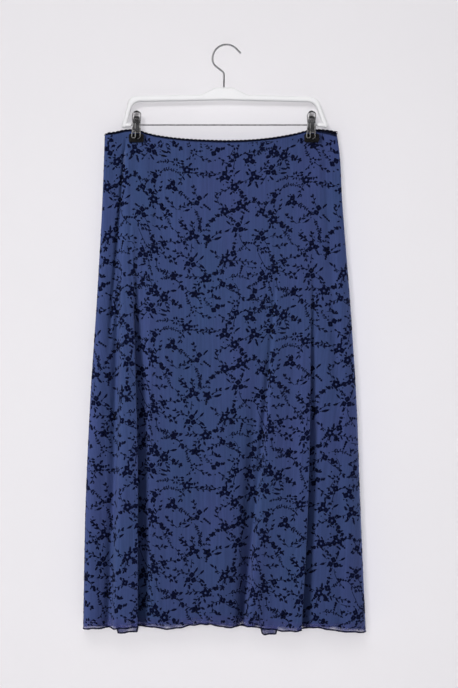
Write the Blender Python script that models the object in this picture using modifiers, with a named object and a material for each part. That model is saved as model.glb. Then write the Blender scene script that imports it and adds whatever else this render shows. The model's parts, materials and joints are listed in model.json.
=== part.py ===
"""Midi skirt of sheer printed cloth over a lining, hung by two clips from a plastic hanger with a wire hook.

Metres, +Z up. The origin is the underside of the hook's crown, where it bears on whatever holds it up.
The front faces -Y, and +X is on the right of somebody who looks at the front.

The skirt is a flattened tube: a front and a back panel, each a wall of cloth lofted down from the waist to
the hem, with a shorter lining inside them and a narrow elastic along the waist. Every layer is worked out
from the same outline, depth and fold tables, so the layers lie inside each other with a gap between them.
"""

import math
from collections import namedtuple

import bmesh
import bpy
import numpy as np
from mathutils import Matrix, Vector

# ---------------------------------------------------------------- sizes of the skirt
SEAM_GAP = 0.0003  # between any two pieces that touch
CLOTH = 0.0010
LINING = 0.0008
ELASTIC = 0.0008
LAYER_GAP = 0.0005  # between the layers where the clips press them together
WAIST_DOWN = 0.160  # mean depth of the waist's edge below the origin
HEM_DOWN = 1.021  # mean depth of the hem below the origin
MIDDLE_DOWN = 0.620  # the depth at which a fold's middle column is read
SEAM_FLAT = 0.0008  # the wall runs straight from front to back this far from a side seam
ELASTIC_ABOVE = 0.0030  # the elastic's picot edge stands this far above the cloth
ELASTIC_BELOW = 0.0050

# Distances from the middle plane to each layer's outer face where the clips hold them.
ELASTIC_FACE = SEAM_GAP + ELASTIC
LINING_FACE = ELASTIC_FACE + LAYER_GAP + LINING
CLOTH_FACE = LINING_FACE + LAYER_GAP + CLOTH

# The flat skirt's left and right edges.
Outline = namedtuple("Outline", "down left right")
OUTLINE = (
    Outline(0.150, -0.2128, 0.1914),
    Outline(0.190, -0.2140, 0.1975),
    Outline(0.270, -0.2170, 0.2022),
    Outline(0.445, -0.2265, 0.2160),
    Outline(0.620, -0.2380, 0.2274),
    Outline(0.795, -0.2460, 0.2338),
    Outline(1.021, -0.2505, 0.2435),
)

# From the middle plane to the cloth's outer face, how far in from a side seam the tube rounds off, and how
# far the lining stays inside the cloth, at its face and at its side seams.
Depth = namedtuple("Depth", "down cloth rounding lining_inset side_inset")
DEPTHS = (
    Depth(0.150, 0.0075, 0.0120, 0.0015, 0.0016),
    Depth(0.220, 0.0100, 0.0150, 0.0030, 0.0025),
    Depth(0.400, 0.0155, 0.0220, 0.0085, 0.0050),
    Depth(0.620, 0.0200, 0.0280, 0.0125, 0.0070),
    Depth(1.021, 0.0250, 0.0350, 0.0145, 0.0090),
)

# The cloth's top edge sags between the clips and droops outside them.
Waist = namedtuple("Waist", "x front back")
WAISTLINE = (
    Waist(-0.2128, -0.1560, -0.1560),
    Waist(-0.1930, -0.1538, -0.1538),
    Waist(-0.1760, -0.1500, -0.1500),
    Waist(-0.1560, -0.1500, -0.1500),
    Waist(-0.1340, -0.1565, -0.1570),
    Waist(-0.0920, -0.1640, -0.1650),
    Waist(-0.0290, -0.1684, -0.1692),
    Waist(0.0340, -0.1682, -0.1690),
    Waist(0.0760, -0.1644, -0.1652),
    Waist(0.1180, -0.1567, -0.1575),
    Waist(0.1490, -0.1497, -0.1497),
    Waist(0.1710, -0.1517, -0.1500),
    Waist(0.1914, -0.1565, -0.1535),
)

# The hems: the front's, and the back's with the two lobes that hang below it.
Hem = namedtuple("Hem", "x z")
FRONT_HEM = (
    Hem(-0.2505, -1.0172),
    Hem(-0.1950, -1.0140),
    Hem(-0.1460, -1.0112),
    Hem(-0.0920, -1.0158),
    Hem(-0.0600, -1.0096),
    Hem(-0.0300, -1.0082),
    Hem(0.0020, -1.0136),
    Hem(0.0350, -1.0112),
    Hem(0.0750, -1.0165),
    Hem(0.1180, -1.0190),
    Hem(0.1500, -1.0138),
    Hem(0.1900, -1.0192),
    Hem(0.2435, -1.0230),
)
BACK_HEM = (
    Hem(-0.2505, -1.0172),
    Hem(-0.2150, -1.0205),
    Hem(-0.1930, -1.0335),
    Hem(-0.1640, -1.0320),
    Hem(-0.1400, -1.0160),
    Hem(-0.0600, -1.0150),
    Hem(0.0330, -1.0175),
    Hem(0.0620, -1.0370),
    Hem(0.0880, -1.0380),
    Hem(0.1120, -1.0190),
    Hem(0.1900, -1.0205),
    Hem(0.2435, -1.0230),
)
LINING_HEM = (
    Hem(-0.2505, -1.0075),
    Hem(-0.1500, -1.0045),
    Hem(-0.0920, -1.0065),
    Hem(-0.0300, -0.9985),
    Hem(0.0300, -1.0015),
    Hem(0.1180, -1.0105),
    Hem(0.2435, -1.0115),
)

# A lap is a fold whose edge hangs over the cloth beside it: the cloth on its left stands out by `height`
# and reaches `over` past the fold's line, and the cloth on its right sinks in and runs back under it.
# A wave is a soft ridge, or a valley where its height is negative. `top`, `middle` and `hem` are the x of the
# fold's line where it starts, at MIDDLE_DOWN and at the hem, and it is fully grown at `full`.
Lap = namedtuple("Lap", "start full top middle hem width height over")
Wave = namedtuple("Wave", "start full top middle hem width height")
FRONT_LAPS = (
    Lap(0.300, 0.900, -0.1640, -0.1540, -0.1510, 0.0120, 0.0085, 0.0120),
    Lap(0.260, 0.620, 0.1460, 0.1450, 0.1330, 0.0110, 0.0080, 0.0110),
)
FRONT_WAVES = (
    Wave(0.170, 0.700, -0.1776, -0.2126, -0.2225, 0.0090, -0.0060),
    Wave(0.360, 0.700, -0.1780, -0.1930, -0.2025, 0.0070, 0.0050),
    Wave(0.400, 0.620, -0.1340, -0.1285, -0.1250, 0.0080, 0.0030),
    Wave(0.480, 0.950, 0.0520, 0.0440, 0.0235, 0.0150, -0.0080),
    Wave(0.320, 0.620, 0.1010, 0.0674, 0.0376, 0.0070, 0.0050),
    Wave(0.170, 0.420, 0.1580, 0.1930, 0.1960, 0.0090, -0.0030),
    Wave(0.260, 0.620, 0.1860, 0.2100, 0.2130, 0.0080, 0.0040),
)
BACK_LAPS = (
    Lap(0.300, 0.880, -0.1560, -0.1610, -0.1560, 0.0120, 0.0080, 0.0100),
    Lap(0.280, 0.800, 0.1440, 0.1060, 0.0960, 0.0120, 0.0080, 0.0110),
)
BACK_WAVES = (
    Wave(0.300, 0.750, -0.1500, -0.1150, -0.0900, 0.0130, -0.0060),
    Wave(0.420, 0.850, -0.0700, -0.0480, -0.0350, 0.0120, 0.0050),
    Wave(0.360, 0.850, 0.0500, 0.0350, 0.0300, 0.0140, -0.0060),
    Wave(0.300, 0.700, 0.1500, 0.1750, 0.1900, 0.0100, 0.0055),
    Wave(0.260, 0.700, -0.1700, -0.1980, -0.2100, 0.0090, 0.0050),
)

# Rows of the lofts, as fractions of the way from the waist to the hem: close together under the clips.
ROWS = (0.0, 0.018, 0.036, 0.07, 0.12, 0.19, 0.27, 0.35, 0.43, 0.52, 0.61, 0.70, 0.79, 0.88, 0.95, 1.0)
LINING_ROWS = (0.0, 0.018, 0.036, 0.08, 0.15, 0.27, 0.42, 0.60, 0.80, 1.0)
EDGE_STEPS = (0.0, 0.0008, 0.0025, 0.0060, 0.0120)  # of the columns beside a side seam
FRONT_COLUMNS = 42
BACK_COLUMNS = 36
LINING_COLUMNS = 26
LAP_CROWDING = (0.022, 2.2)  # how far round a lap the columns crowd, and by how much
CLIP_CROWDING = (0.026, 1.2)
SEAM_FADE = 12  # the power by which folds fade towards the side seams

# ---------------------------------------------------------------- sizes of the hanger
WIRE_RADIUS = 0.00185
CROWN_RADIUS = 0.0245  # of the hook's upper arc, to the wire's middle
CROWN_TURN = (34.0, 185.0)  # degrees, from its tip's side to its heel's
HEEL_RADIUS = 0.0170  # of the tighter arc below it
HEEL_END = 232.0
HOOK_TIP = (0.0252, -0.0134)  # the tip flares out of the arc
KNEE_RADIUS = 0.0060
NECK_X = -0.0044
NECK_BOTTOM = -0.0920
NECK_BORE_TOP = -0.0600  # clear above the arch
ARCH_HALF_DEPTH = 0.0045
ARCH_EDGE = 0.0022  # rounding of the arch's edges
ROD_DOWN = 0.1388
ROD_RADIUS = 0.0014
ROD_ENDS = (-0.1790, 0.1735)
ROUND_SIDES = 24
SHARP_ANGLE = 40.0
BOSS_RADIUS = 0.0040
BOSSES = ((-0.1790, -0.1668), (0.1735, 0.1590))  # from inside the leg to the boss's free end

# The plastic arch: each corner's x and z, and the radius that rounds it.
Corner = namedtuple("Corner", "x z radius")
ARCH = (
    Corner(-0.1845, -0.1445, 0.0035),
    Corner(-0.1695, -0.0880, 0.0160),
    Corner(-0.0460, -0.0862, 0.0200),
    Corner(-0.0200, -0.0735, 0.0100),
    Corner(0.0120, -0.0735, 0.0100),
    Corner(0.0380, -0.0862, 0.0200),
    Corner(0.1590, -0.0895, 0.0200),
    Corner(0.1795, -0.1440, 0.0035),
    Corner(0.1700, -0.1440, 0.0035),
    Corner(0.1535, -0.0990, 0.0130),
    Corner(-0.0040, -0.0955, 0.0),
    Corner(-0.1635, -0.0985, 0.0120),
    Corner(-0.1758, -0.1445, 0.0035),
)

# ---------------------------------------------------------------- sizes of a clip
Clip = namedtuple("Clip", "name x turn")
CLIPS = (Clip("left", -0.1575, 6.0), Clip("right", 0.1488, 0.0))  # turn is in degrees about the vertical
GRIP_FLAT = 0.024  # the cloth is flat this far to each side of a clip's middle
GRIP_FADE = 0.085
GRIP_DEPTH = (0.191, 0.430)  # it is flat down to the first depth, and full again at the second
PAD_SIZE = (0.0260, 0.0040, 0.0150)
PAD_TOP = -0.0160  # below the rod
PAD_EDGE = 0.0010
TAB_METAL = 0.0008
TAB_COLUMNS = 5
FLANGE = 0.0012  # the turned-in edge of a tab
PRONG_RADIUS = 0.0008
PRONG_BEND = 0.0022
PRONG_STEP = 0.0060
PRONG_OVER_PAD = 0.0100  # from the middle plane to the wire's middle, in front of the pad
PRONG_LEAVES = -0.0040  # the wire runs along the tab down to here, and slopes out to the pad's face
SLEEVE_RADIUS = 0.0034
SLEEVE_LENGTH = 0.0110

# The spring's wire, seen from the front: each corner beside the clip's middle and above the rod.
HAIRPIN = (
    Corner(-0.0060, 0.0020, 0.0),
    Corner(-0.0092, -0.0235, PRONG_BEND),
    Corner(-0.0026, -0.0235, PRONG_BEND),
    Corner(-0.0026, 0.0020, 0.0),
)
LEG = (Corner(0.0058, 0.0020, 0.0), Corner(0.0058, -0.0225, PRONG_BEND), Corner(0.0015, -0.0255, 0.0))

# A pressed tab from its round top down to the jaw: heights above the rod, distances from the middle plane.
Tab = namedtuple("Tab", "z y half_width flange")
TABS = (
    Tab(0.0262, 0.0118, 0.0028, FLANGE),
    Tab(0.0248, 0.0115, 0.0052, FLANGE),
    Tab(0.0220, 0.0108, 0.0070, FLANGE),
    Tab(0.0180, 0.0098, 0.0078, FLANGE),
    Tab(0.0080, 0.0074, 0.0075, 0.0022),
    Tab(0.0020, 0.0066, 0.0072, 0.0040),
    Tab(-0.0030, 0.0066, 0.0072, 0.0040),
    Tab(-0.0070, 0.0067, 0.0072, FLANGE),
    Tab(-0.0146, 0.0068, 0.0072, FLANGE),
)

# ---------------------------------------------------------------- colours
Look = namedtuple("Look", "colour roughness metallic")
LOOKS = {
    "printed_cloth": Look((0.045, 0.068, 0.175), 0.85, 0.0),
    "lining_cloth": Look((0.050, 0.085, 0.230), 0.70, 0.0),
    "dark_elastic": Look((0.006, 0.008, 0.020), 0.80, 0.0),
    "white_plastic": Look((0.820, 0.820, 0.830), 0.30, 0.0),
    "chrome": Look((0.620, 0.620, 0.640), 0.15, 1.0),
    "black_rubber": Look((0.010, 0.010, 0.011), 0.55, 0.0),
}


def clear_scene():
    for obj in list(bpy.data.objects):
        bpy.data.objects.remove(obj, do_unlink=True)


def collection(name, cutters=False):
    made = bpy.data.collections.new(name)
    bpy.context.scene.collection.children.link(made)
    made.hide_render = cutters
    return made


def material(name):
    look = LOOKS[name]
    made = bpy.data.materials.get(name)
    if made is None:
        made = bpy.data.materials.new(name)
        made.use_nodes = True
        shader = made.node_tree.nodes["Principled BSDF"]
        shader.inputs["Base Color"].default_value = (*look.colour, 1.0)
        shader.inputs["Roughness"].default_value = look.roughness
        shader.inputs["Metallic"].default_value = look.metallic
    return made


def add_object(name, data, look, home):
    obj = bpy.data.objects.new(name, data)
    home.objects.link(obj)
    if look:
        data.materials.append(material(look))
    return obj


# ---------------------------------------------------------------- curves and steps
def ease(low, high, value):
    """0 below low, 1 above high, and a smooth step between them."""
    t = min(max((value - low) / (high - low), 0.0), 1.0)
    return t * t * (3.0 - 2.0 * t)


def through(rows, column, place):
    """The column's value at a place in the table's first column, on a smooth curve through its rows."""
    knots = np.array([row[0] for row in rows])
    values = np.array([getattr(row, column) for row in rows])
    slopes = np.gradient(values, knots)
    low = int(np.clip(np.searchsorted(knots, place) - 1, 0, len(knots) - 2))
    span = knots[low + 1] - knots[low]
    t = min(max((place - knots[low]) / span, 0.0), 1.0)
    start = (1 + 2 * t) * (1 - t) ** 2 * values[low] + t * (1 - t) ** 2 * span * slopes[low]
    end = t * t * (3 - 2 * t) * values[low + 1] - t * t * (1 - t) * span * slopes[low + 1]
    return start + end


def fold_line(fold, down):
    """The x of a fold's line at a depth, on the parabola through its three named places."""
    places = ((fold.start, fold.top), (MIDDLE_DOWN, fold.middle), (HEM_DOWN, fold.hem))
    x = 0.0
    for here, value in places:
        weight = math.prod((down - other) / (here - other) for other, _ in places if other != here)
        x += value * weight
    return x


# ---------------------------------------------------------------- the cloth's form
def tube_depth(x, down):
    """From the middle plane to the cloth's outer face, with no folds: least at the clips."""
    free = through(DEPTHS, "cloth", down)
    beside = min(ease(GRIP_FLAT, GRIP_FADE, abs(x - clip.x)) for clip in CLIPS)
    below = ease(*GRIP_DEPTH, down)
    return CLOTH_FACE + (free - CLOTH_FACE) * (beside + below - beside * below)


def roundness(x, left, right, rounding):
    """1 over most of the width, and down a quarter of an ellipse to 0 at each side seam."""
    short = max(1.0 - min(x - left, right - x) / rounding, 0.0)
    return math.sqrt(max(1.0 - short * short, 0.0))


def folded(x, down, laps, waves, left, right):
    """How far the folds move a point along X and out from the middle plane."""
    across = min(abs((2 * x - left - right) / (right - left)), 1.0)
    fade = 1.0 - across**SEAM_FADE
    shift = out = 0.0
    for lap in laps:
        grown = ease(lap.start, lap.full, down) * fade
        beside = (x - fold_line(lap, max(down, lap.start))) / lap.width
        step = beside * math.exp((1.0 - beside * beside) / 2)
        shift -= lap.over * grown * step
        out -= lap.height * grown * step
    for wave in waves:
        grown = ease(wave.start, wave.full, down) * fade
        beside = (x - fold_line(wave, max(down, wave.start))) / wave.width
        out += wave.height * grown * math.exp(-beside * beside / 2)
    return shift, out


def column_places(left, right, down, laps, count):
    """Each column's x at a depth: closer together at the laps, at the clips and beside the seams."""
    inner_left, inner_right = left + EDGE_STEPS[-1], right - EDGE_STEPS[-1]
    fine = np.linspace(inner_left, inner_right, 10 * count)
    density = np.ones_like(fine)
    for lap in laps:
        near = (fine - fold_line(lap, max(down, lap.start))) / LAP_CROWDING[0]
        density += LAP_CROWDING[1] * np.exp(-near * near)
    for clip in CLIPS:
        near = (fine - clip.x) / CLIP_CROWDING[0]
        density += CLIP_CROWDING[1] * np.exp(-near * near) * (1.0 - ease(*GRIP_DEPTH, down))
    reach = np.concatenate(([0.0], np.cumsum((density[1:] + density[:-1]) / 2)))
    inner = np.interp(np.linspace(0.0, reach[-1], count), reach, fine)
    edge = np.array(EDGE_STEPS[:-1])
    return [*(left + edge), *inner, *(right - edge[::-1])]


def layer_row(side, down, inset, side_inset, count, laps=(), waves=()):
    """x and y of a layer's outer face at each column, from its left seam to its right seam."""
    left = through(OUTLINE, "left", down) + side_inset
    right = through(OUTLINE, "right", down) - side_inset
    rounding = through(DEPTHS, "rounding", down) - side_inset
    seam = SEAM_GAP / 2
    row = [(left, side * seam)]
    for x in column_places(left, right, down, laps, count):
        shift, out = folded(x, down, laps, waves, left, right)
        rise = (tube_depth(x, down) - inset - SEAM_FLAT - seam) * roundness(x, left, right, rounding)
        row.append((x + shift, side * (seam + SEAM_FLAT + rise + out)))
    return [*row, (right, side * seam)]


def shell(name, side, rows, thickness, look, home):
    """A wall of cloth: its outer face is a grid of points, and Solidify gives its thickness inwards."""
    form = bmesh.new()
    grid = [[form.verts.new(point) for point in row] for row in rows]
    for upper, lower in zip(grid, grid[1:]):
        for index in range(len(upper) - 1):
            corners = [upper[index], lower[index], lower[index + 1], upper[index + 1]]
            form.faces.new(corners if side < 0 else corners[::-1])
    mesh = bpy.data.meshes.new(name)
    form.to_mesh(mesh)
    form.free()
    mesh.shade_smooth()
    obj = add_object(name, mesh, look, home)
    wall = obj.modifiers.new("wall", "SOLIDIFY")
    wall.thickness = thickness
    wall.offset = -1.0
    wall.use_even_offset = True
    return obj


def panel(name, side, hem, laps, waves, count, home):
    """A panel of the printed cloth."""
    edge = "front" if side < 0 else "back"
    rows = []
    for part in ROWS:
        down = WAIST_DOWN + part * (HEM_DOWN - WAIST_DOWN)
        row = layer_row(side, down, 0.0, 0.0, count, laps, waves)
        rows.append([])
        for x, y in row:
            top = through(WAISTLINE, edge, x)
            rows[-1].append((x, y, top + part * (through(hem, "z", x) - top)))
    return shell(name, side, rows, CLOTH, "printed_cloth", home)


def lining(name, side, home):
    """A panel of the lining: it hangs inside the deepest of the folds and ends above the hem."""
    edge = "front" if side < 0 else "back"
    rows = []
    for part in LINING_ROWS:
        down = WAIST_DOWN + part * (HEM_DOWN - WAIST_DOWN)
        inset = through(DEPTHS, "lining_inset", down)
        side_inset = through(DEPTHS, "side_inset", down)
        row = layer_row(side, down, inset, side_inset, LINING_COLUMNS)
        rows.append([])
        for x, y in row:
            top = through(WAISTLINE, edge, x)
            rows[-1].append((x, y, top + part * (through(LINING_HEM, "z", x) - top)))
    return shell(name, side, rows, LINING, "lining_cloth", home)


def waist_elastic(name, side, home):
    """The narrow elastic sewn inside the waist, whose upper edge shows above the cloth."""
    edge = "front" if side < 0 else "back"
    inset = CLOTH_FACE - ELASTIC_FACE
    row = layer_row(side, WAIST_DOWN, inset, inset + LAYER_GAP, LINING_COLUMNS)
    rows = []
    for above in (ELASTIC_ABOVE, -ELASTIC_BELOW):
        rows.append([(x, y, through(WAISTLINE, edge, x) + above) for x, y in row])
    return shell(name, side, rows, ELASTIC, "dark_elastic", home)


# ---------------------------------------------------------------- the hanger
def arc(centre, radius, start, end, steps):
    """Points on an arc in the XZ plane, between two angles in degrees."""
    turns = [math.radians(start + (end - start) * step / steps) for step in range(steps + 1)]
    return [(centre[0] + radius * math.cos(turn), centre[1] + radius * math.sin(turn)) for turn in turns]


def rounded(corners, closed, steps=4):
    """A line through corners, each rounded by an arc of its own radius that touches both sides."""
    points = []
    for index, corner in enumerate(corners):
        here = Vector(corner[:2])
        ends = not closed and index in (0, len(corners) - 1)
        if ends or corner[2] == 0:
            points.append(tuple(here))
            continue
        back = (Vector(corners[index - 1][:2]) - here).normalized()
        ahead = (Vector(corners[(index + 1) % len(corners)][:2]) - here).normalized()
        half = back.angle(ahead) / 2
        middle = here + (back + ahead).normalized() * (corner[2] / math.sin(half))
        from_middle = here + back * (corner[2] / math.tan(half)) - middle
        to_middle = here + ahead * (corner[2] / math.tan(half)) - middle
        sweep = from_middle.angle_signed(to_middle)
        for step in range(steps + 1):
            spoke = from_middle.copy()
            spoke.rotate(Matrix.Rotation(-sweep * step / steps, 2))
            points.append(tuple(middle + spoke))
    return points


def subdivided(points, longest):
    """The same line with its straight runs divided so that none is longer than `longest`."""
    line = [points[0]]
    for start, end in zip(points, points[1:]):
        steps = math.ceil(math.dist(start, end) / longest)
        line += [tuple(Vector(start).lerp(Vector(end), step / steps)) for step in range(1, steps + 1)]
    return line


def wire(name, points, radius, look, home, resolution=2):
    """A round wire along points in space."""
    path = bpy.data.curves.new(name, "CURVE")
    path.dimensions = "3D"
    path.bevel_depth = radius
    path.bevel_resolution = resolution
    path.use_fill_caps = True
    spline = path.splines.new("POLY")
    spline.points.add(len(points) - 1)
    for spot, point in zip(spline.points, points):
        spot.co = (*point, 1.0)
    return add_object(name, path, look, home)


def as_mesh(curve_object, look, home):
    """The curve's solid as a mesh object with welded caps, in the curve's place."""
    bpy.context.view_layer.update()
    evaluated = curve_object.evaluated_get(bpy.context.evaluated_depsgraph_get())
    mesh = bpy.data.meshes.new_from_object(evaluated)
    form = bmesh.new()
    form.from_mesh(mesh)
    bmesh.ops.remove_doubles(form, verts=form.verts, dist=0.00001)
    form.to_mesh(mesh)
    form.free()
    name, place = curve_object.name, curve_object.matrix_world.copy()
    bpy.data.objects.remove(curve_object, do_unlink=True)
    obj = add_object(name, mesh, None, home)
    obj.matrix_world = place
    if not mesh.materials:
        mesh.materials.append(material(look))
    return obj


def rod_cylinder(name, ends, radius, look, home):
    """A round bar along X at the rod's height."""
    form = bmesh.new()
    size = {"radius1": radius, "radius2": radius, "depth": abs(ends[1] - ends[0])}
    bmesh.ops.create_cone(form, cap_ends=True, segments=ROUND_SIDES, **size)
    mesh = bpy.data.meshes.new(name)
    form.to_mesh(mesh)
    form.free()
    mesh.shade_smooth()
    mesh.set_sharp_from_angle(angle=math.radians(SHARP_ANGLE))
    obj = add_object(name, mesh, look, home)
    obj.rotation_euler = (0.0, math.radians(90), 0.0)
    obj.location = ((ends[0] + ends[1]) / 2, 0.0, -ROD_DOWN)
    return obj


def boolean(obj, operation, other):
    change = obj.modifiers.new(operation.lower(), "BOOLEAN")
    change.operation = operation
    change.solver = "EXACT"
    change.object = other


def hanger_arch(home, cutters):
    """The white arch, with a hump round the hook's neck and a boss at each leg that takes the rod."""
    outline = bpy.data.curves.new("hanger_arch", "CURVE")
    outline.dimensions = "2D"
    outline.fill_mode = "BOTH"
    outline.extrude = ARCH_HALF_DEPTH - ARCH_EDGE
    outline.bevel_depth = ARCH_EDGE
    outline.bevel_resolution = 1
    outline.offset = -ARCH_EDGE
    points = rounded(ARCH, closed=True)
    spline = outline.splines.new("POLY")
    spline.use_cyclic_u = True
    spline.points.add(len(points) - 1)
    for spot, (x, z) in zip(spline.points, points):
        spot.co = (x, z, 0.0, 1.0)
    flat = add_object("hanger_arch", outline, None, home)
    flat.rotation_euler = (math.radians(90), 0.0, 0.0)
    arch = as_mesh(flat, "white_plastic", home)
    for number, ends in enumerate(BOSSES):
        boolean(arch, "UNION", rod_cylinder(f"boss_{number}", ends, BOSS_RADIUS, None, cutters))
    reach = (ROD_ENDS[0] - SEAM_GAP, ROD_ENDS[1] + SEAM_GAP)
    boolean(arch, "DIFFERENCE", rod_cylinder("rod_bore", reach, ROD_RADIUS + SEAM_GAP, None, cutters))
    neck = [(NECK_X, 0.0, NECK_BORE_TOP), (NECK_X, 0.0, NECK_BOTTOM - SEAM_GAP)]
    neck_bore = wire("neck_bore", neck, WIRE_RADIUS + SEAM_GAP, None, cutters)
    boolean(arch, "DIFFERENCE", as_mesh(neck_bore, "chrome", cutters))
    for cutter in cutters.objects:
        cutter.hide_render = True
        cutter.display_type = "WIRE"


def hook(home):
    """The wire hook: a crown, a tighter heel, and a neck that runs straight down into the arch."""
    crown = (0.0, WIRE_RADIUS - CROWN_RADIUS)
    turn = math.radians(CROWN_TURN[1])
    inwards = CROWN_RADIUS - HEEL_RADIUS
    heel = (crown[0] + inwards * math.cos(turn), crown[1] + inwards * math.sin(turn))
    upper = arc(crown, CROWN_RADIUS, *CROWN_TURN, 15)
    lower = arc(heel, HEEL_RADIUS, CROWN_TURN[1], HEEL_END, 4)[1:]
    across = NECK_X - lower[-1][0]
    knee = (NECK_X, lower[-1][1] - across / math.tan(math.radians(HEEL_END - 180.0)))
    neck = rounded([(*lower[-1], 0.0), (*knee, KNEE_RADIUS), (NECK_X, NECK_BOTTOM, 0.0)], closed=False)[1:]
    points = [(x, 0.0, z) for x, z in [HOOK_TIP, *upper, *lower, *neck]]
    wire("hanger_hook", points, WIRE_RADIUS, "chrome", home)


# ---------------------------------------------------------------- the clips
def clip_tab(clip, side, home):
    """A pressed steel tab: a channel with turned-in edges, round at the top."""
    form = bmesh.new()
    turn = Matrix.Rotation(math.radians(clip.turn), 3, "Z")
    grid = []
    for row in TABS:
        inner = row.y - row.flange
        across = [row.half_width * (2 * step / (TAB_COLUMNS - 1) - 1) for step in range(TAB_COLUMNS)]
        line = [(-row.half_width, inner), *[(x, row.y) for x in across], (row.half_width, inner)]
        grid.append([form.verts.new(turn @ Vector((x, side * y, row.z))) for x, y in line])
    for upper, lower in zip(grid, grid[1:]):
        for index in range(len(upper) - 1):
            corners = [upper[index], lower[index], lower[index + 1], upper[index + 1]]
            form.faces.new(corners if side < 0 else corners[::-1])
    name = f"{clip.name}_clip_tab_{'front' if side < 0 else 'back'}"
    mesh = bpy.data.meshes.new(name)
    form.to_mesh(mesh)
    form.free()
    obj = add_object(name, mesh, "chrome", home)
    obj.location = (clip.x, 0.0, -ROD_DOWN)
    metal = obj.modifiers.new("metal", "SOLIDIFY")
    metal.thickness = TAB_METAL
    metal.offset = -1.0
    metal.use_even_offset = True


def clip_prongs(clip, side, home):
    """The spring's wire in front of the jaw: a hairpin, and a single leg that bends under its end."""
    on_tab = TABS[-1].y + SEAM_GAP + PRONG_RADIUS
    turn = Matrix.Rotation(math.radians(clip.turn), 3, "Z")
    where = "front" if side < 0 else "back"
    for kind, line in (("hairpin", HAIRPIN), ("leg", LEG)):
        points = []
        for x, z in subdivided(rounded(line, closed=False, steps=3), PRONG_STEP):
            sloped = ease(-PRONG_LEAVES, -PAD_TOP - PRONG_RADIUS, -z)
            stands = on_tab + (PRONG_OVER_PAD - on_tab) * sloped
            points.append(turn @ Vector((x, side * stands, z)) + Vector((clip.x, 0.0, -ROD_DOWN)))
        wire(f"{clip.name}_clip_{kind}_{where}", points, PRONG_RADIUS, "chrome", home, resolution=1)


def clip_pad(clip, side, home):
    """The rubber jaw, flat against the cloth."""
    form = bmesh.new()
    bmesh.ops.create_cube(form, size=1.0)
    bmesh.ops.scale(form, vec=PAD_SIZE, verts=form.verts)
    name = f"{clip.name}_clip_pad_{'front' if side < 0 else 'back'}"
    mesh = bpy.data.meshes.new(name)
    form.to_mesh(mesh)
    form.free()
    obj = add_object(name, mesh, "black_rubber", home)
    stands = CLOTH_FACE + SEAM_GAP + PAD_SIZE[1] / 2
    obj.location = (clip.x, side * stands, PAD_TOP - PAD_SIZE[2] / 2 - ROD_DOWN)
    edge = obj.modifiers.new("edge", "BEVEL")
    edge.width = PAD_EDGE
    edge.segments = 2


def clip_sleeve(clip, home, cutters):
    """The coil of the spring round the rod, as a plain sleeve."""
    ends = (clip.x - SLEEVE_LENGTH / 2, clip.x + SLEEVE_LENGTH / 2)
    sleeve = rod_cylinder(f"{clip.name}_clip_spring", ends, SLEEVE_RADIUS, "chrome", home)
    past = (ends[0] - SLEEVE_RADIUS, ends[1] + SLEEVE_RADIUS)
    bore = rod_cylinder(f"{clip.name}_spring_bore", past, ROD_RADIUS + SEAM_GAP, None, cutters)
    boolean(sleeve, "DIFFERENCE", bore)
    bore.hide_render = True
    bore.display_type = "WIRE"


def main():
    clear_scene()
    home = collection("midi_skirt_on_hanger")
    cutters = collection("cutters", cutters=True)
    panel("front_panel", -1, FRONT_HEM, FRONT_LAPS, FRONT_WAVES, FRONT_COLUMNS, home)
    panel("back_panel", 1, BACK_HEM, BACK_LAPS, BACK_WAVES, BACK_COLUMNS, home)
    for where, side in (("front", -1), ("back", 1)):
        lining(f"lining_{where}", side, home)
        waist_elastic(f"waist_elastic_{where}", side, home)
    hanger_arch(home, cutters)
    hook(home)
    rod_cylinder("hanger_rod", ROD_ENDS, ROD_RADIUS, "chrome", home)
    for clip in CLIPS:
        clip_sleeve(clip, home, cutters)
        for side in (-1, 1):
            clip_tab(clip, side, home)
            clip_prongs(clip, side, home)
            clip_pad(clip, side, home)


main()
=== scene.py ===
"""Looks of the midi skirt on its clip hanger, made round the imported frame.

Metres, +Z up, the frame's own axes: the origin is under the hook's crown, and the front faces -Y.
The cloth's form is the frame's: the same outline, depth, waist, hem and fold tables, read on a much finer
grid, with gathers, soft undulations and a wavy rolled hem on top. The print is flock, so each flower and
leaf is a thin dome of its own, laid on the cloth along its arc length and so running round every fold.
"""

import json
import math
import random
from collections import namedtuple
from functools import partial
from itertools import product

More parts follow.
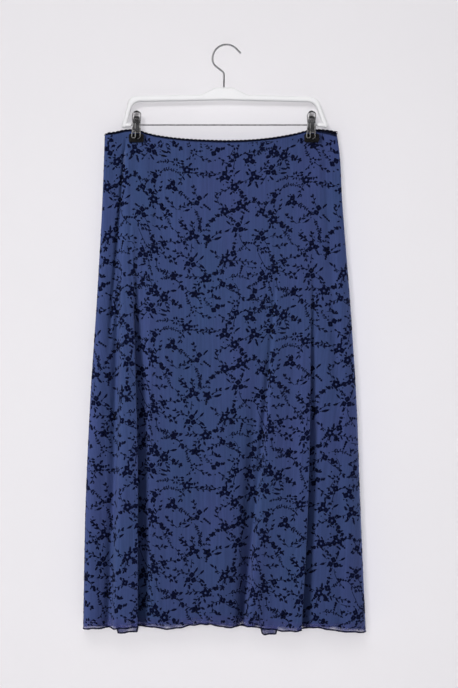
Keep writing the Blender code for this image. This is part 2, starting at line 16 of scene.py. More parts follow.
import bmesh
import bpy
import numpy as np
from mathutils import Matrix, Vector
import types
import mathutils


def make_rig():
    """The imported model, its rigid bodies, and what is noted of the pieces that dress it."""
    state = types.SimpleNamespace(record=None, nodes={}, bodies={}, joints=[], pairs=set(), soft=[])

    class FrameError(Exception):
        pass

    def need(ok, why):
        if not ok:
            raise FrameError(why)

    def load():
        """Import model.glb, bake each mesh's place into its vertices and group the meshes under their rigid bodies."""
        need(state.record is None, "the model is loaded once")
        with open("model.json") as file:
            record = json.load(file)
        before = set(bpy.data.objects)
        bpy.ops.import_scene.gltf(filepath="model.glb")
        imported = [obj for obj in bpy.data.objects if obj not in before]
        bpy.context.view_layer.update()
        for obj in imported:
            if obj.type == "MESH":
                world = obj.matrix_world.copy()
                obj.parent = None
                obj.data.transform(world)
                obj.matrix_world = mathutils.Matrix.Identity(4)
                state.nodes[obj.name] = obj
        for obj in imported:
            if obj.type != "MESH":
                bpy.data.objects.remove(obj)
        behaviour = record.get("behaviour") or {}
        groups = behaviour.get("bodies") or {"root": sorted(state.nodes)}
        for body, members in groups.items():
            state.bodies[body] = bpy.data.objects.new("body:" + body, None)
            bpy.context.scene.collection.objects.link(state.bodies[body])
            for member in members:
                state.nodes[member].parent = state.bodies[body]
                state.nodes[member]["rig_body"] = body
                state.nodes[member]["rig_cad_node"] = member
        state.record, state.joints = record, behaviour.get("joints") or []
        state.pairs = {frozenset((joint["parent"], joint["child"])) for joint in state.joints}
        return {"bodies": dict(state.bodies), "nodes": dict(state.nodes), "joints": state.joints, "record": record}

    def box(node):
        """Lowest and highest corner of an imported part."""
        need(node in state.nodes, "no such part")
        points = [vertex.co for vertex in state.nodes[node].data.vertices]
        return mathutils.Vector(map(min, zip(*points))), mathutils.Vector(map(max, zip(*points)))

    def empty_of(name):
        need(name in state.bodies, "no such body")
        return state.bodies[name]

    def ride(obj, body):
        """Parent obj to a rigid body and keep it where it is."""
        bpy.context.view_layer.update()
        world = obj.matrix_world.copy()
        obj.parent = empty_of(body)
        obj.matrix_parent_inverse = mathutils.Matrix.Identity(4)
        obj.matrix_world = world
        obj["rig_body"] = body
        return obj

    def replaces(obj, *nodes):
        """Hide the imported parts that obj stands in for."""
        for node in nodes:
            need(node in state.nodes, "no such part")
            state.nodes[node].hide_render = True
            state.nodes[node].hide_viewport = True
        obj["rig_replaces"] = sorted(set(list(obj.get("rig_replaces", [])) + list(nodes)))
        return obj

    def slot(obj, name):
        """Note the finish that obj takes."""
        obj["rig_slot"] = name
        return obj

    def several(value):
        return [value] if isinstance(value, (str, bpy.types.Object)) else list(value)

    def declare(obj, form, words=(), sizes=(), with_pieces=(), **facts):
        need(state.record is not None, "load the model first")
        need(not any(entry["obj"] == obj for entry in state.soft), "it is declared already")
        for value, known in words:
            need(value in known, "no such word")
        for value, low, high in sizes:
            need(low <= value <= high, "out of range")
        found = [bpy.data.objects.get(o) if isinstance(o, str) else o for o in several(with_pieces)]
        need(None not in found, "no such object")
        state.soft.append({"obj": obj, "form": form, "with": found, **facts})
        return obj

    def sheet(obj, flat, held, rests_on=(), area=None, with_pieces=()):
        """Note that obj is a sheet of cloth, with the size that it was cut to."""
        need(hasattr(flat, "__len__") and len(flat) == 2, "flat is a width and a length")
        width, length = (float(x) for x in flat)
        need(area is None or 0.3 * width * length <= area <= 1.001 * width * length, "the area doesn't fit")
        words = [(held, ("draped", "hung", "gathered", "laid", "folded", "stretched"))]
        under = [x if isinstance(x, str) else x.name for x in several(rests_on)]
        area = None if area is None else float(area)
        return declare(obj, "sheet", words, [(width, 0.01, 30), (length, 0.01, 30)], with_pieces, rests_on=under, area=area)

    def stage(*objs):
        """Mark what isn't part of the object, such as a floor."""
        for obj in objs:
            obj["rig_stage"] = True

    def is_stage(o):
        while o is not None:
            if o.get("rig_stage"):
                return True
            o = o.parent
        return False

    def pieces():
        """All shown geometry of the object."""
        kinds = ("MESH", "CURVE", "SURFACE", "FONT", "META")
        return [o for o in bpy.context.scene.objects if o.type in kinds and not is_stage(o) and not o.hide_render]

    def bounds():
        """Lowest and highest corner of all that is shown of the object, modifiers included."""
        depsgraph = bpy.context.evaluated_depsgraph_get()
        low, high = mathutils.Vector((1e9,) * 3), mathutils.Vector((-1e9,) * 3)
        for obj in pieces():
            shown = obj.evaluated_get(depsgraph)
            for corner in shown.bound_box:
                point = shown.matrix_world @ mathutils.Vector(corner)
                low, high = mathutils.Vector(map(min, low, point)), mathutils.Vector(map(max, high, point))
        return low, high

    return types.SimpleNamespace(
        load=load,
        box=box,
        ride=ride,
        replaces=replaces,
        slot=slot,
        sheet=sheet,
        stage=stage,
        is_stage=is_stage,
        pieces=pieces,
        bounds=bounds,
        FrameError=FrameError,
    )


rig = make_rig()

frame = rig.load()
CAD_BOX = [list(corner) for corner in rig.bounds()]


def table(fields, *rows):
    """Rows of values whose columns have names."""
    row = namedtuple("Row", fields)
    return [row(*values) for values in rows]


# ---- the cloth's form, as in the frame
SEAM_GAP = 0.0003  # between the panels where they meet at the sides
CLOTH = 0.0010
LINING = 0.0008
ELASTIC = 0.0008
LAYER_GAP = 0.0005
WAIST_DOWN = 0.160  # this and the next two: depths below the hook's crown
HEM_DOWN = 1.021
MIDDLE_DOWN = 0.620
LENGTH = HEM_DOWN - WAIST_DOWN
SEAM_FLAT = 0.0008  # how far a face stands from the middle plane right beside its seam
ELASTIC_ABOVE = 0.0030
ELASTIC_BELOW = 0.0050
ELASTIC_FACE = SEAM_GAP + ELASTIC
PICOTS_ABOVE = 0.0031
CLOTH_FACE = ELASTIC_FACE + 2 * LAYER_GAP + LINING + CLOTH  # where a clip presses the layers together
GRIP_FLAT = 0.024  # flat this close to a clip's middle, and free from the next distance on
GRIP_FADE = 0.085
GRIP_DEPTH = (0.191, 0.430)  # the grip dies away between these depths
SEAM_FADE = 12  # a power: the higher it is, the nearer to a seam the folds fade
SIDE_SQUARENESS = 3.0  # a power: the higher it is, the squarer the sides

OUTLINE = table(
    "down left right",
    (0.150, -0.2128, 0.1914),
    (0.190, -0.2140, 0.1975),
    (0.270, -0.2170, 0.2022),
    (0.445, -0.2265, 0.2160),
    (0.620, -0.2380, 0.2274),
    (0.795, -0.2460, 0.2338),
    (1.021, -0.2505, 0.2435),
)

# Distances from the middle plane to the cloth's face, and how far the lining stays inside it.
DEPTHS = table(
    "down cloth rounding lining_inset side_inset",
    (0.150, 0.0075, 0.0120, 0.0015, 0.0016),
    (0.220, 0.0100, 0.0150, 0.0030, 0.0025),
    (0.400, 0.0155, 0.0220, 0.0085, 0.0050),
    (0.620, 0.0200, 0.0280, 0.0125, 0.0070),
    (1.021, 0.0250, 0.0350, 0.0145, 0.0090),
)

WAISTLINE = table(
    "x front back",
    (-0.2128, -0.1560, -0.1560),
    (-0.1930, -0.1538, -0.1538),
    (-0.1760, -0.1500, -0.1500),
    (-0.1560, -0.1500, -0.1500),
    (-0.1340, -0.1565, -0.1570),
    (-0.0920, -0.1640, -0.1650),
    (-0.0290, -0.1684, -0.1692),
    (0.0340, -0.1682, -0.1690),
    (0.0760, -0.1644, -0.1652),
    (0.1180, -0.1567, -0.1575),
    (0.1490, -0.1497, -0.1497),
    (0.1710, -0.1517, -0.1500),
    (0.1914, -0.1565, -0.1535),
)

FRONT_HEM = table(
    "x z",
    (-0.2505, -1.0172), (-0.1950, -1.0140), (-0.1460, -1.0112), (-0.0920, -1.0158), (-0.0600, -1.0096),
    (-0.0300, -1.0082), (0.0020, -1.0136), (0.0350, -1.0112), (0.0750, -1.0165), (0.1180, -1.0190),
    (0.1500, -1.0138), (0.1900, -1.0192), (0.2435, -1.0230),
)
BACK_HEM = table(
    "x z",
    (-0.2505, -1.0172), (-0.1900, -1.0195), (-0.1300, -1.0145), (-0.0600, -1.0150), (0.0300, -1.0180),
    (0.1000, -1.0185), (0.1900, -1.0205), (0.2435, -1.0230),
)
LINING_HEM = table(
    "x z",
    (-0.2505, -1.0050), (-0.1500, -1.0005), (-0.0920, -1.0040), (-0.0300, -0.9965), (0.0300, -1.0000),
    (0.1180, -1.0080), (0.2435, -1.0100),
)

# Where a fold of the back hangs out below its hem, square at both sides.
BACK_DIPS = table(
    "left right drop",
    (-0.1934, -0.1575, 0.0130),
    (0.0621, 0.0884, 0.0165),
)
DIP_SIDE = 0.0014

# A lap hangs over the cloth on its right, or on its left where its height is negative. A wave is a soft
# ridge, or a valley where its height is negative. Both grow from the depth `start` to the depth `full`, and
# their line runs through the x of `top`, `middle` and `hem`.
LAP = "start full top middle hem width height over"
WAVE = "start full top middle hem width height"
NARROW_START = 0.55  # the share of its width that a lap starts with
TOP_REACH = 2.6  # how many widths the side on top takes to die away
FRONT_LAPS = table(
    LAP,
    (0.290, 0.790, -0.1640, -0.1588, -0.1588, 0.0108, 0.0116, 0.0142),
    (0.260, 0.900, 0.1460, 0.1448, 0.1265, 0.0088, 0.0090, 0.0106),
    (0.240, 0.620, -0.1790, -0.1922, -0.2040, 0.0056, -0.0090, 0.0008),
    (0.300, 0.820, 0.0960, 0.0725, 0.0330, 0.0054, -0.0068, 0.0010),
)
FRONT_WAVES = table(
    WAVE,
    (0.170, 0.600, -0.1776, -0.2050, -0.2150, 0.0090, -0.0055),
    (0.400, 0.620, -0.1340, -0.1285, -0.1250, 0.0080, 0.0024),
    (0.480, 0.850, 0.0560, 0.0500, 0.0265, 0.0075, -0.0078),
    (0.140, 0.240, 0.1710, 0.1930, 0.1990, 0.0070, -0.0009),
    (0.260, 0.620, 0.1860, 0.2100, 0.2130, 0.0080, 0.0040),
)
BACK_LAPS = table(
    LAP,
    (0.300, 0.880, -0.1560, -0.1610, -0.1560, 0.0120, 0.0080, 0.0100),
    (0.280, 0.800, 0.1440, 0.1060, 0.0960, 0.0120, 0.0080, 0.0110),
)
BACK_WAVES = table(
    WAVE,
    (0.300, 0.750, -0.1500, -0.1150, -0.0900, 0.0130, -0.0060),
    (0.420, 0.850, -0.0700, -0.0480, -0.0350, 0.0120, 0.0050),
    (0.360, 0.850, 0.0500, 0.0350, 0.0300, 0.0140, -0.0060),
    (0.300, 0.700, 0.1500, 0.1750, 0.1900, 0.0100, 0.0055),
    (0.260, 0.700, -0.1700, -0.1980, -0.2100, 0.0090, 0.0050),
)

# ---- what the looks add to that form
CENTRE_X = -0.0045  # the grain line that each panel's arc length is measured from
SHELL = 0.0005  # the fine shells' thickness
TALL_FROM = (0.156, 0.168)  # between these x more and more of the elastic shows
EDGE_STEPS = (0.0, 0.0004, 0.0010, 0.0020, 0.0035, 0.0055, 0.0085, 0.0120)  # the columns beside a seam
CLOTH_COLUMNS = 244
LINING_COLUMNS = 110
CLOTH_ROWS = ((0.0, 0.07, 16), (0.07, 0.965, 142), (0.965, 1.0, 15))  # shares of the length, and rows
LINING_ROWS = 70
LAP_CROWDING = (0.022, 2.6)  # how near a lap's line the columns are closer together, and how much closer
LEAST_CROWDING = 0.35  # the share of that where the lap hasn't begun
SHEER_FROM = (-0.0060, -0.0010)  # how far below the lining's hem the cloth turns see-through
SHEER_EDGE = (0.0018, 0.0080)  # the front does so fully only this close to its edge
SHEER_SHARE = 0.35  # and this much of it above that
GATHERS_END = (0.160, 0.235)  # the waist's gathers die away between these depths
GATHERS_FREE = (0.170, 0.200)  # and where a clip grips, they only begin between these
GATHER_HEIGHT = 0.00026
SWELLS_BEGIN = (0.190, 0.330)  # and the cloth's own unevenness sets in between these
SLOW_HEIGHT = 0.00055
FINE_HEIGHT = 0.00016
CREASE_FADE = 6  # powers, as SEAM_FADE
RUFFLE_FADE = 10
RUFFLE_FROM = HEM_DOWN - 0.022
RUFFLE_SWING = 0.0010
RUFFLE_LIFT = 0.0006

# Soft creases too slight for the frame: they start and end inside the cloth's length.
CREASE = "top bottom x_top x_bottom width height"
FRONT_CREASES = table(
    CREASE,
    (0.305, 0.600, -0.1630, -0.1590, 0.0024, 0.0018),
    (0.162, 0.560, -0.1750, -0.2085, 0.0024, -0.0052),
    (0.420, 1.060, -0.1335, -0.1295, 0.0024, 0.0017),
    (0.162, 0.420, -0.1700, -0.1775, 0.0030, 0.0012),
    (0.168, 0.330, -0.1420, -0.1330, 0.0060, 0.0008),
    (0.150, 0.640, 0.1690, 0.1945, 0.0060, -0.0025),
    (0.165, 0.300, 0.1335, 0.1240, 0.0050, 0.0008),
    (0.480, 1.060, -0.0960, -0.0900, 0.0110, 0.0012),
    (0.560, 1.060, -0.0480, -0.0400, 0.0120, -0.0013),
    (0.640, 1.060, -0.0100, -0.0060, 0.0100, 0.0012),
    (0.380, 1.060, 0.0900, 0.0860, 0.0120, 0.0012),
    (0.520, 1.060, 0.1140, 0.1060, 0.0060, -0.0010),
    (0.500, 1.060, 0.1790, 0.1720, 0.0090, 0.0012),
    (0.620, 1.060, -0.1740, -0.1760, 0.0070, 0.0012),
)
BACK_CREASES = table(
    CREASE,
    (0.165, 0.560, -0.1690, -0.1830, 0.0030, -0.0011),
    (0.165, 0.380, 0.1600, 0.1740, 0.0030, -0.0010),
    (0.420, 1.060, -0.0950, -0.0860, 0.0110, 0.0012),
    (0.560, 1.060, 0.0080, 0.0020, 0.0110, 0.0013),
    (0.460, 1.060, 0.0760, 0.0640, 0.0100, 0.0012),
    (0.540, 1.060, 0.1420, 0.1480, 0.0100, -0.0012),
)


# ---- curves and steps
def ease(low, high, value):
    """0 below low, 1 above high, and a smooth step between them."""
    t = np.clip((value - low) / (high - low), 0.0, 1.0)
    return t * t * (3.0 - 2.0 * t)


def through(rows, column, place):
    """The column's values at places in the table's first column, on a smooth curve through its rows."""
    knots = np.array([row[0] for row in rows])
    values = np.array([getattr(row, column) for row in rows])
    slopes = np.gradient(values, knots)
    place = np.asarray(place, float)
    low = np.clip(np.searchsorted(knots, place) - 1, 0, len(knots) - 2)
    span = knots[low + 1] - knots[low]
    t = np.clip((place - knots[low]) / span, 0.0, 1.0)
    start = (1 + 2 * t) * (1 - t) ** 2 * values[low] + t * (1 - t) ** 2 * span * slopes[low]
    end = t * t * (3 - 2 * t) * values[low + 1] - t * t * (1 - t) * span * slopes[low + 1]
    return start + end


def fold_line(fold, down):
    """The x of a fold's line at a depth, on the parabola through its three named places."""
    down = np.maximum(down, fold.start)
    places = ((fold.start, fold.top), (MIDDLE_DOWN, fold.middle), (HEM_DOWN, fold.hem))
    x = 0.0
    for here, value in places:
        x = x + value * math.prod((down - other) / (here - other) for other, _ in places if other != here)
    return x


# ---- the cloth's surface
# The x of each clip's middle.
CLIP_X = {name: sum(corner.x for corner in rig.box(f"{name}_clip_pad_front")) / 2
          for name in ("left", "right")}


def grip(x, down, below=GRIP_DEPTH):
    """1 where the cloth hangs free, 0 where a clip holds it flat."""
    beside = np.minimum(*[ease(GRIP_FLAT, GRIP_FADE, np.abs(x - place)) for place in CLIP_X.values()])
    lower = ease(*below, down)
    return beside + lower - beside * lower


def lap_step(beside, top):
    """A lap's push: it swings across its line, and dies away slowly on the side on top."""
    step = beside * np.exp((1.0 - beside * beside) / 2)
    slowly = top * np.exp(-(((beside * top - 1.0) / TOP_REACH) ** 2) / 2)
    return np.where(beside * top > 1.0, slowly, step)


def folded(x, down, laps, waves, across):
    """How far the folds move a point along X and out from the middle plane."""
    fade = 1.0 - across**SEAM_FADE
    shift = out = 0.0
    for lap in laps:
        grown = ease(lap.start, lap.full, down) * fade
        width = lap.width * (NARROW_START + (1.0 - NARROW_START) * grown)
        beside = (x - fold_line(lap, down)) / width
        step = lap_step(beside, -math.copysign(1.0, lap.height))
        shift = shift - lap.over * grown * step
        out = out - lap.height * grown * step
    for wave in waves:
        grown = ease(wave.start, wave.full, down) * fade
        beside = (x - fold_line(wave, down)) / wave.width
        out = out + wave.height * grown * np.exp(-beside * beside / 2)
    return shift, out


def ripple(x, rate, sway, sway_rate, phase=0.0, sway_phase=0.0):
    """A sine along X whose waves are uneven, because a slower one sways them."""
    return np.sin(x * rate + sway * np.sin(x * sway_rate + sway_phase) + phase)


def creased(x, down, creases):
    """How far the slight creases, the waist's gathers and the cloth's own unevenness stand out."""
    out = 0.0
    for crease in creases:
        along = (down - crease.top) / (crease.bottom - crease.top)
        line = crease.x_top + (crease.x_bottom - crease.x_top) * along
        grown = ease(0.0, 0.12, along) * (1.0 - ease(0.75, 1.0, along))
        beside = (x - line) / crease.width
        out = out + crease.height * grown * np.exp(-beside * beside / 2)
    gather = ripple(x, 610, 2.0, 47) + 0.6 * ripple(x, 987, 1.7, 61, 0.8)
    tight = (1.0 - ease(*GATHERS_END, down)) * grip(x, down, GATHERS_FREE)
    slow = np.sin(x * 88 + 3.0 * down + 0.9) * np.sin(down * 21 + 1.3 * np.sin(x * 31))
    fine = np.sin(x * 195 - 9.0 * down) * np.sin(down * 47 + 2.0 * np.sin(x * 53) + 0.4)
    swell = (SLOW_HEIGHT * slow + FINE_HEIGHT * fine) * ease(*SWELLS_BEGIN, down)
    return out + GATHER_HEIGHT * gather * tight + swell


def hem_ruffle(x, down, phase):
    """The rolled hem's waves: how far it swings in and out, and up and down."""
    last = ease(RUFFLE_FROM, HEM_DOWN, down)
    swing = ripple(x, 300, 2.2, 43, phase, phase) + 0.5 * ripple(x, 533, 1.5, 71, 2 * phase)
    return RUFFLE_SWING * last * swing, RUFFLE_LIFT * last * ripple(x, 262, 1.9, 39, 1.1 * phase, phase)


def column_places(left, right, down, laps, count):
    """Each column's x at a depth: closer together at the laps and beside the seams."""
    inner_left, inner_right = left + EDGE_STEPS[-1], right - EDGE_STEPS[-1]
    fine = np.linspace(inner_left, inner_right, 6 * count)
    density = np.ones_like(fine)
    for lap in laps:
        near = (fine - fold_line(lap, down)) / LAP_CROWDING[0]
        grown = LEAST_CROWDING + (1.0 - LEAST_CROWDING) * ease(lap.start, lap.full, down)
        density += LAP_CROWDING[1] * grown * np.exp(-near * near)
    reach = np.concatenate(([0.0], np.cumsum((density[1:] + density[:-1]) / 2)))
    inner = np.interp(np.linspace(0.0, reach[-1], count), reach, fine)
    edge = np.array(EDGE_STEPS[:-1])
    return np.concatenate((left + edge, inner, right - edge[::-1]))


Layer = namedtuple("Layer", "points across along side")


def lowest(hem, dips, x):
    """The z of a layer's bottom edge."""
    z = through(hem, "z", x)
    for dip in dips:
        sides = [ease(edge - DIP_SIDE, edge + DIP_SIDE, x) for edge in (dip.left, dip.right)]
        z = z - dip.drop * (sides[0] - sides[1])
    return z


def standing(x, down, left, right, rounding, inset, squareness):
    """How far a layer stands from the middle plane: evenly in its middle, and rounded towards its sides."""
    short = np.clip(1.0 - np.minimum(x - left, right - x) / rounding, 0.0, 1.0)
    free = CLOTH_FACE + (through(DEPTHS, "cloth", down) - CLOTH_FACE) * grip(x, down)
    least = SEAM_GAP / 2 + SEAM_FLAT
    return least + (free - inset - least) * (1.0 - short**squareness) ** (1.0 / squareness)


def waist_edge(side, x):
    """The z of the cloth's upper edge."""
    return through(WAISTLINE, "front" if side < 0 else "back", x)


def layer(side, hem, parts, count, laps=(), waves=(), creases=(), dips=(), lining=False, ruffle=0.0):
    """A layer's outer face as a grid of points, with its arc length across and its length along."""
    part = parts[:, None]
    down = WAIST_DOWN + part * LENGTH
    inset, side_inset = 0.0, 0.0 * down
    if lining:
        inset, side_inset = through(DEPTHS, "lining_inset", down), through(DEPTHS, "side_inset", down)
    left = through(OUTLINE, "left", down) + side_inset
    right = through(OUTLINE, "right", down) - side_inset
    rounding = through(DEPTHS, "rounding", down) - side_inset
    x = np.array([column_places(*ends, laps, count) for ends in zip(left[:, 0], right[:, 0], down[:, 0])])
    across = np.minimum(np.abs((2 * x - left - right) / (right - left)), 1.0)
    shift, out = folded(x, down, laps, waves, across)
    if creases:
        out = out + creased(x, down, creases) * (1.0 - across**CREASE_FADE)
    swing, lift = hem_ruffle(x, down, ruffle) if ruffle else (0.0, 0.0)
    out = out + swing * (1.0 - across**RUFFLE_FADE)
    stands = standing(x, down, left, right, rounding, inset, SIDE_SQUARENESS) + out
    stands[:, 0] = stands[:, -1] = SEAM_GAP / 2
    moved = x + shift
    top = waist_edge(side, moved)
    z = top + part * (lowest(hem, dips, moved) - top) + lift
    points = np.stack((moved, side * stands, z), axis=2)
    steps = np.linalg.norm(np.diff(points, axis=1), axis=2)
    reach = np.concatenate((np.zeros((len(points), 1)), np.cumsum(steps, axis=1)), axis=1)
    centre = np.array([np.interp(CENTRE_X, *pair) for pair in zip(x, reach)])
    return Layer(points, reach - centre[:, None], np.broadcast_to(part * LENGTH, x.shape), side)


def normals(cloth):
    """The outward unit normal at each of a layer's grid points."""
    across = np.gradient(cloth.points, axis=1)
    along = np.gradient(cloth.points, axis=0)
    facing = np.cross(across, along) * cloth.side
    return facing / np.maximum(np.linalg.norm(facing, axis=2, keepdims=True), 1e-12)


def place_on(cloth, facing, across, along, heights):
    """Points laid on a layer: at arc lengths across it and lengths down it, and at heights above it."""
    rows = np.interp(along, cloth.along[:, 0], np.arange(len(cloth.along)))
    upper = np.clip(rows.astype(int), 0, len(cloth.along) - 2)
    share = (rows - upper)[:, None]
    places = np.zeros((len(across), 3))
    lean = np.zeros((len(across), 3))
    for step, weight in ((0, 1.0 - share), (1, share)):
        for row in np.unique(upper + step):
            here = np.flatnonzero(upper + step == row)
            column = np.interp(across[here], cloth.across[row], np.arange(cloth.across.shape[1]))
            low = np.clip(column.astype(int), 0, cloth.across.shape[1] - 2)
            mix = (column - low)[:, None]
            for grid, total in ((cloth.points, places), (facing, lean)):
                total[here] += weight[here] * (grid[row, low] * (1 - mix) + grid[row, low + 1] * mix)
    lean /= np.linalg.norm(lean, axis=1, keepdims=True)
    return places + lean * np.asarray(heights)[:, None]


# ---- meshes
def new_object(name, data):
    """An object in the scene."""
    obj = bpy.data.objects.new(name, data)
    bpy.context.scene.collection.objects.link(obj)
    return obj


def mesh_object(name, points, faces, uv, look):
    """A smooth-shaded mesh object; uv holds a pair for each point, or is None."""
    mesh = bpy.data.meshes.new(name)
    mesh.from_pydata(np.asarray(points).tolist(), [], faces)
    if uv is not None:
        corners = np.empty(len(mesh.loops), np.int32)
        mesh.loops.foreach_get("vertex_index", corners)
        mesh.uv_layers.new(name="fabric").data.foreach_set("uv", np.asarray(uv)[corners].ravel())
    mesh.shade_smooth()
    mesh.validate()
    mesh.materials.append(look)
    return new_object(name, mesh)


def grid_faces(rows, columns, flip, closed=False):
    """The quads of a grid of points that are numbered row by row."""
    last = columns if closed else columns - 1
    faces = []
    for row in range(rows - 1):
        for column in range(last):
            beside = (column + 1) % columns
            quad = (row * columns + column, (row + 1) * columns + column,
                    (row + 1) * columns + beside, row * columns + beside)
            faces.append(quad[::-1] if flip else quad)
    return faces


def thicken(obj, thickness):
    """Makes a surface a thin wall, inwards from its outer face."""
    wall = obj.modifiers.new("wall", "SOLIDIFY")
    wall.thickness = thickness
    wall.offset = -1.0


def cloth_shell(name, cloth, look):
    """A layer as a thin wall, with how see-through it is at each of its points."""
    rows, columns = cloth.points.shape[:2]
    uv = np.stack((cloth.across, -cloth.along), axis=2).reshape(-1, 2)
    faces = grid_faces(rows, columns, cloth.side > 0)
    obj = mesh_object(name, cloth.points.reshape(-1, 3), faces, uv, look)
    sheer = obj.data.attributes.new("sheer", "FLOAT", "POINT")
    below = through(LINING_HEM, "z", cloth.points[..., 0]) - cloth.points[..., 2]
    above = cloth.points[..., 2] - cloth.points[-1, :, 2]
    share = 1.0 if cloth.side > 0 else 1.0 - (1.0 - SHEER_SHARE) * ease(*SHEER_EDGE, above)
    sheer.data.foreach_set("value", (share * ease(*SHEER_FROM, below)).ravel())
    thicken(obj, SHELL)
    return obj


class Soup:
    """Many small closed shapes, gathered to be one mesh."""

    def __init__(self):
        self.points, self.faces, self.uv = [], [], []

    def add(self, points, faces, uv):
        start = len(self.points)
        self.points.extend(points)
        self.faces.extend(tuple(start + corner for corner in face) for face in faces)
        self.uv.extend(uv)

    def make(self, name, look):
        return mesh_object(name, self.points, self.faces, self.uv, look)


def add_tube(soup, line, radius, sides):
    """A round tube along a line of points, with its ends closed, added to a soup."""
    line = np.asarray(line, float)
    count = len(line)
    radii = np.broadcast_to(radius, count)
    ahead = np.roll(line, -1, axis=0) - np.roll(line, 1, axis=0)
    ahead[0], ahead[-1] = line[1] - line[0], line[-1] - line[-2]
    ahead /= np.linalg.norm(ahead, axis=1, keepdims=True)
    start = np.array((0.0, 1.0, 0.0)) if abs(ahead[0][1]) < 0.9 else np.array((1.0, 0.0, 0.0))
    turns = np.linspace(0, 2 * math.pi, sides, endpoint=False)
    length = np.concatenate(([0.0], np.cumsum(np.linalg.norm(np.diff(line, axis=0), axis=1))))
    points, uv = [], []
    for place, forward, radius_here, reach in zip(line, ahead, radii, length):
        start = start - forward * np.dot(start, forward)
        start = start / np.linalg.norm(start)
        other = np.cross(forward, start)
        for turn in turns:
            points.append(tuple(place + radius_here * (math.cos(turn) * start + math.sin(turn) * other)))
            uv.append((reach, turn * radius_here))
    ends = [tuple(range(sides)), tuple((count - 1) * sides + side for side in reversed(range(sides)))]
    soup.add(points, [*grid_faces(count, sides, True, closed=True), *ends], uv)


def tube(name, line, radius, look, sides=12):
    """One tube as a mesh object."""
    soup = Soup()
    add_tube(soup, line, radius, sides)
    return soup.make(name, look)


def attach(piece, slot, *nodes):
    """Sends a piece with the object's one body, and says which frame nodes it stands for."""
    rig.ride(piece, "root")
    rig.slot(piece, slot)
    if nodes:
        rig.replaces(piece, *nodes)
    return piece


# ---- materials
class Nodes:
    """The node tree of a material or a world, and short calls that add to it."""

    def __init__(self, owner):
        owner.use_nodes = True
        self.tree = owner.node_tree

    def fill(self, node, inputs):
        """Feeds a node's inputs from sockets, or sets their values. A colour is given without its alpha."""
        for socket, value in inputs.items():
            target = node.inputs[socket]
            if isinstance(value, bpy.types.NodeSocket):
                self.tree.links.new(value, target)
            else:
                target.default_value = (*value, 1.0) if target.type == "RGBA" else value

    def node(self, kind, inputs, **settings):
        made = self.tree.nodes.new(f"ShaderNode{kind}")
        for setting, value in settings.items():
            setattr(made, setting, value)
        self.fill(made, inputs)
        return made


class Look(Nodes):
    """A Principled material, from calls for the patterns that it is made of."""

    def __init__(self, name, **constants):
        self.material = bpy.data.materials.new(name)
        super().__init__(self.material)
        self.shader = self.tree.nodes["Principled BSDF"]
        self.fill(self.shader, {socket.replace("_", " "): value for socket, value in constants.items()})

    def feed(self, socket, value):
        self.fill(self.shader, {socket: value})

    def fabric(self, across, along, turn=0.0):
        """Coordinates on the cloth: metres across and along, times a scale each."""
        uv = self.node("UVMap", {}, uv_map="fabric").outputs[0]
        inputs = {"Vector": uv, "Scale": (across, along, 1.0), "Rotation": (0.0, 0.0, turn)}
        return self.node("Mapping", inputs).outputs[0]

    def space(self, scale, upwards=None):
        """Coordinates in the object's own space, times a scale, which may be another one upwards."""
        place = self.node("TexCoord", {}).outputs["Object"]
        return self.node("Mapping", {"Vector": place, "Scale": (scale, scale, upwards or scale)}).outputs[0]

    def noise(self, vector, detail=2.0, roughness=0.5):
        inputs = {"Vector": vector, "Scale": 1.0, "Detail": detail, "Roughness": roughness}
        return self.node("TexNoise", inputs).outputs["Fac"]

    def wave(self, vector, distortion=0.0):
        inputs = {"Vector": vector, "Scale": 1.0, "Distortion": distortion}
        return self.node("TexWave", inputs).outputs["Fac"]

    def ranged(self, value, low, high, to_low=0.0, to_high=1.0):
        inputs = {"Value": value, "From Min": low, "From Max": high, "To Min": to_low, "To Max": to_high}
        return self.node("MapRange", inputs).outputs[0]

    def blend(self, share, first, second, blend_type="MIX"):
        """A colour between two, by a share from 0 to 1."""
        inputs = {0: share, 6: first, 7: second}
        return self.node("Mix", inputs, data_type="RGBA", blend_type=blend_type).outputs[2]

    def sum(self, total, *values):
        for value in values:
            total = self.node("Math", {0: total, 1: value}, operation="ADD").outputs[0]
        return total

    def colour(self, share, first, second):
        self.feed("Base Color", self.blend(share, first, second))

    def bump(self, height, distance, strength):
        inputs = {"Height": height, "Distance": distance, "Strength": strength}
        self.feed("Normal", self.node("Bump", inputs).outputs[0])


CLOTH_BLUE = (0.0238, 0.0436, 0.1235)
CLOTH_VIOLET = (0.0284, 0.0422, 0.1310)
SHEER_ALPHA = (0.60, 0.28)
# Painted light: a paler violet where the cloth turns see-through, standing in for light shining through the single
# layer.
SHEER_BACKLIT_VIOLET = (0.052, 0.058, 0.195)


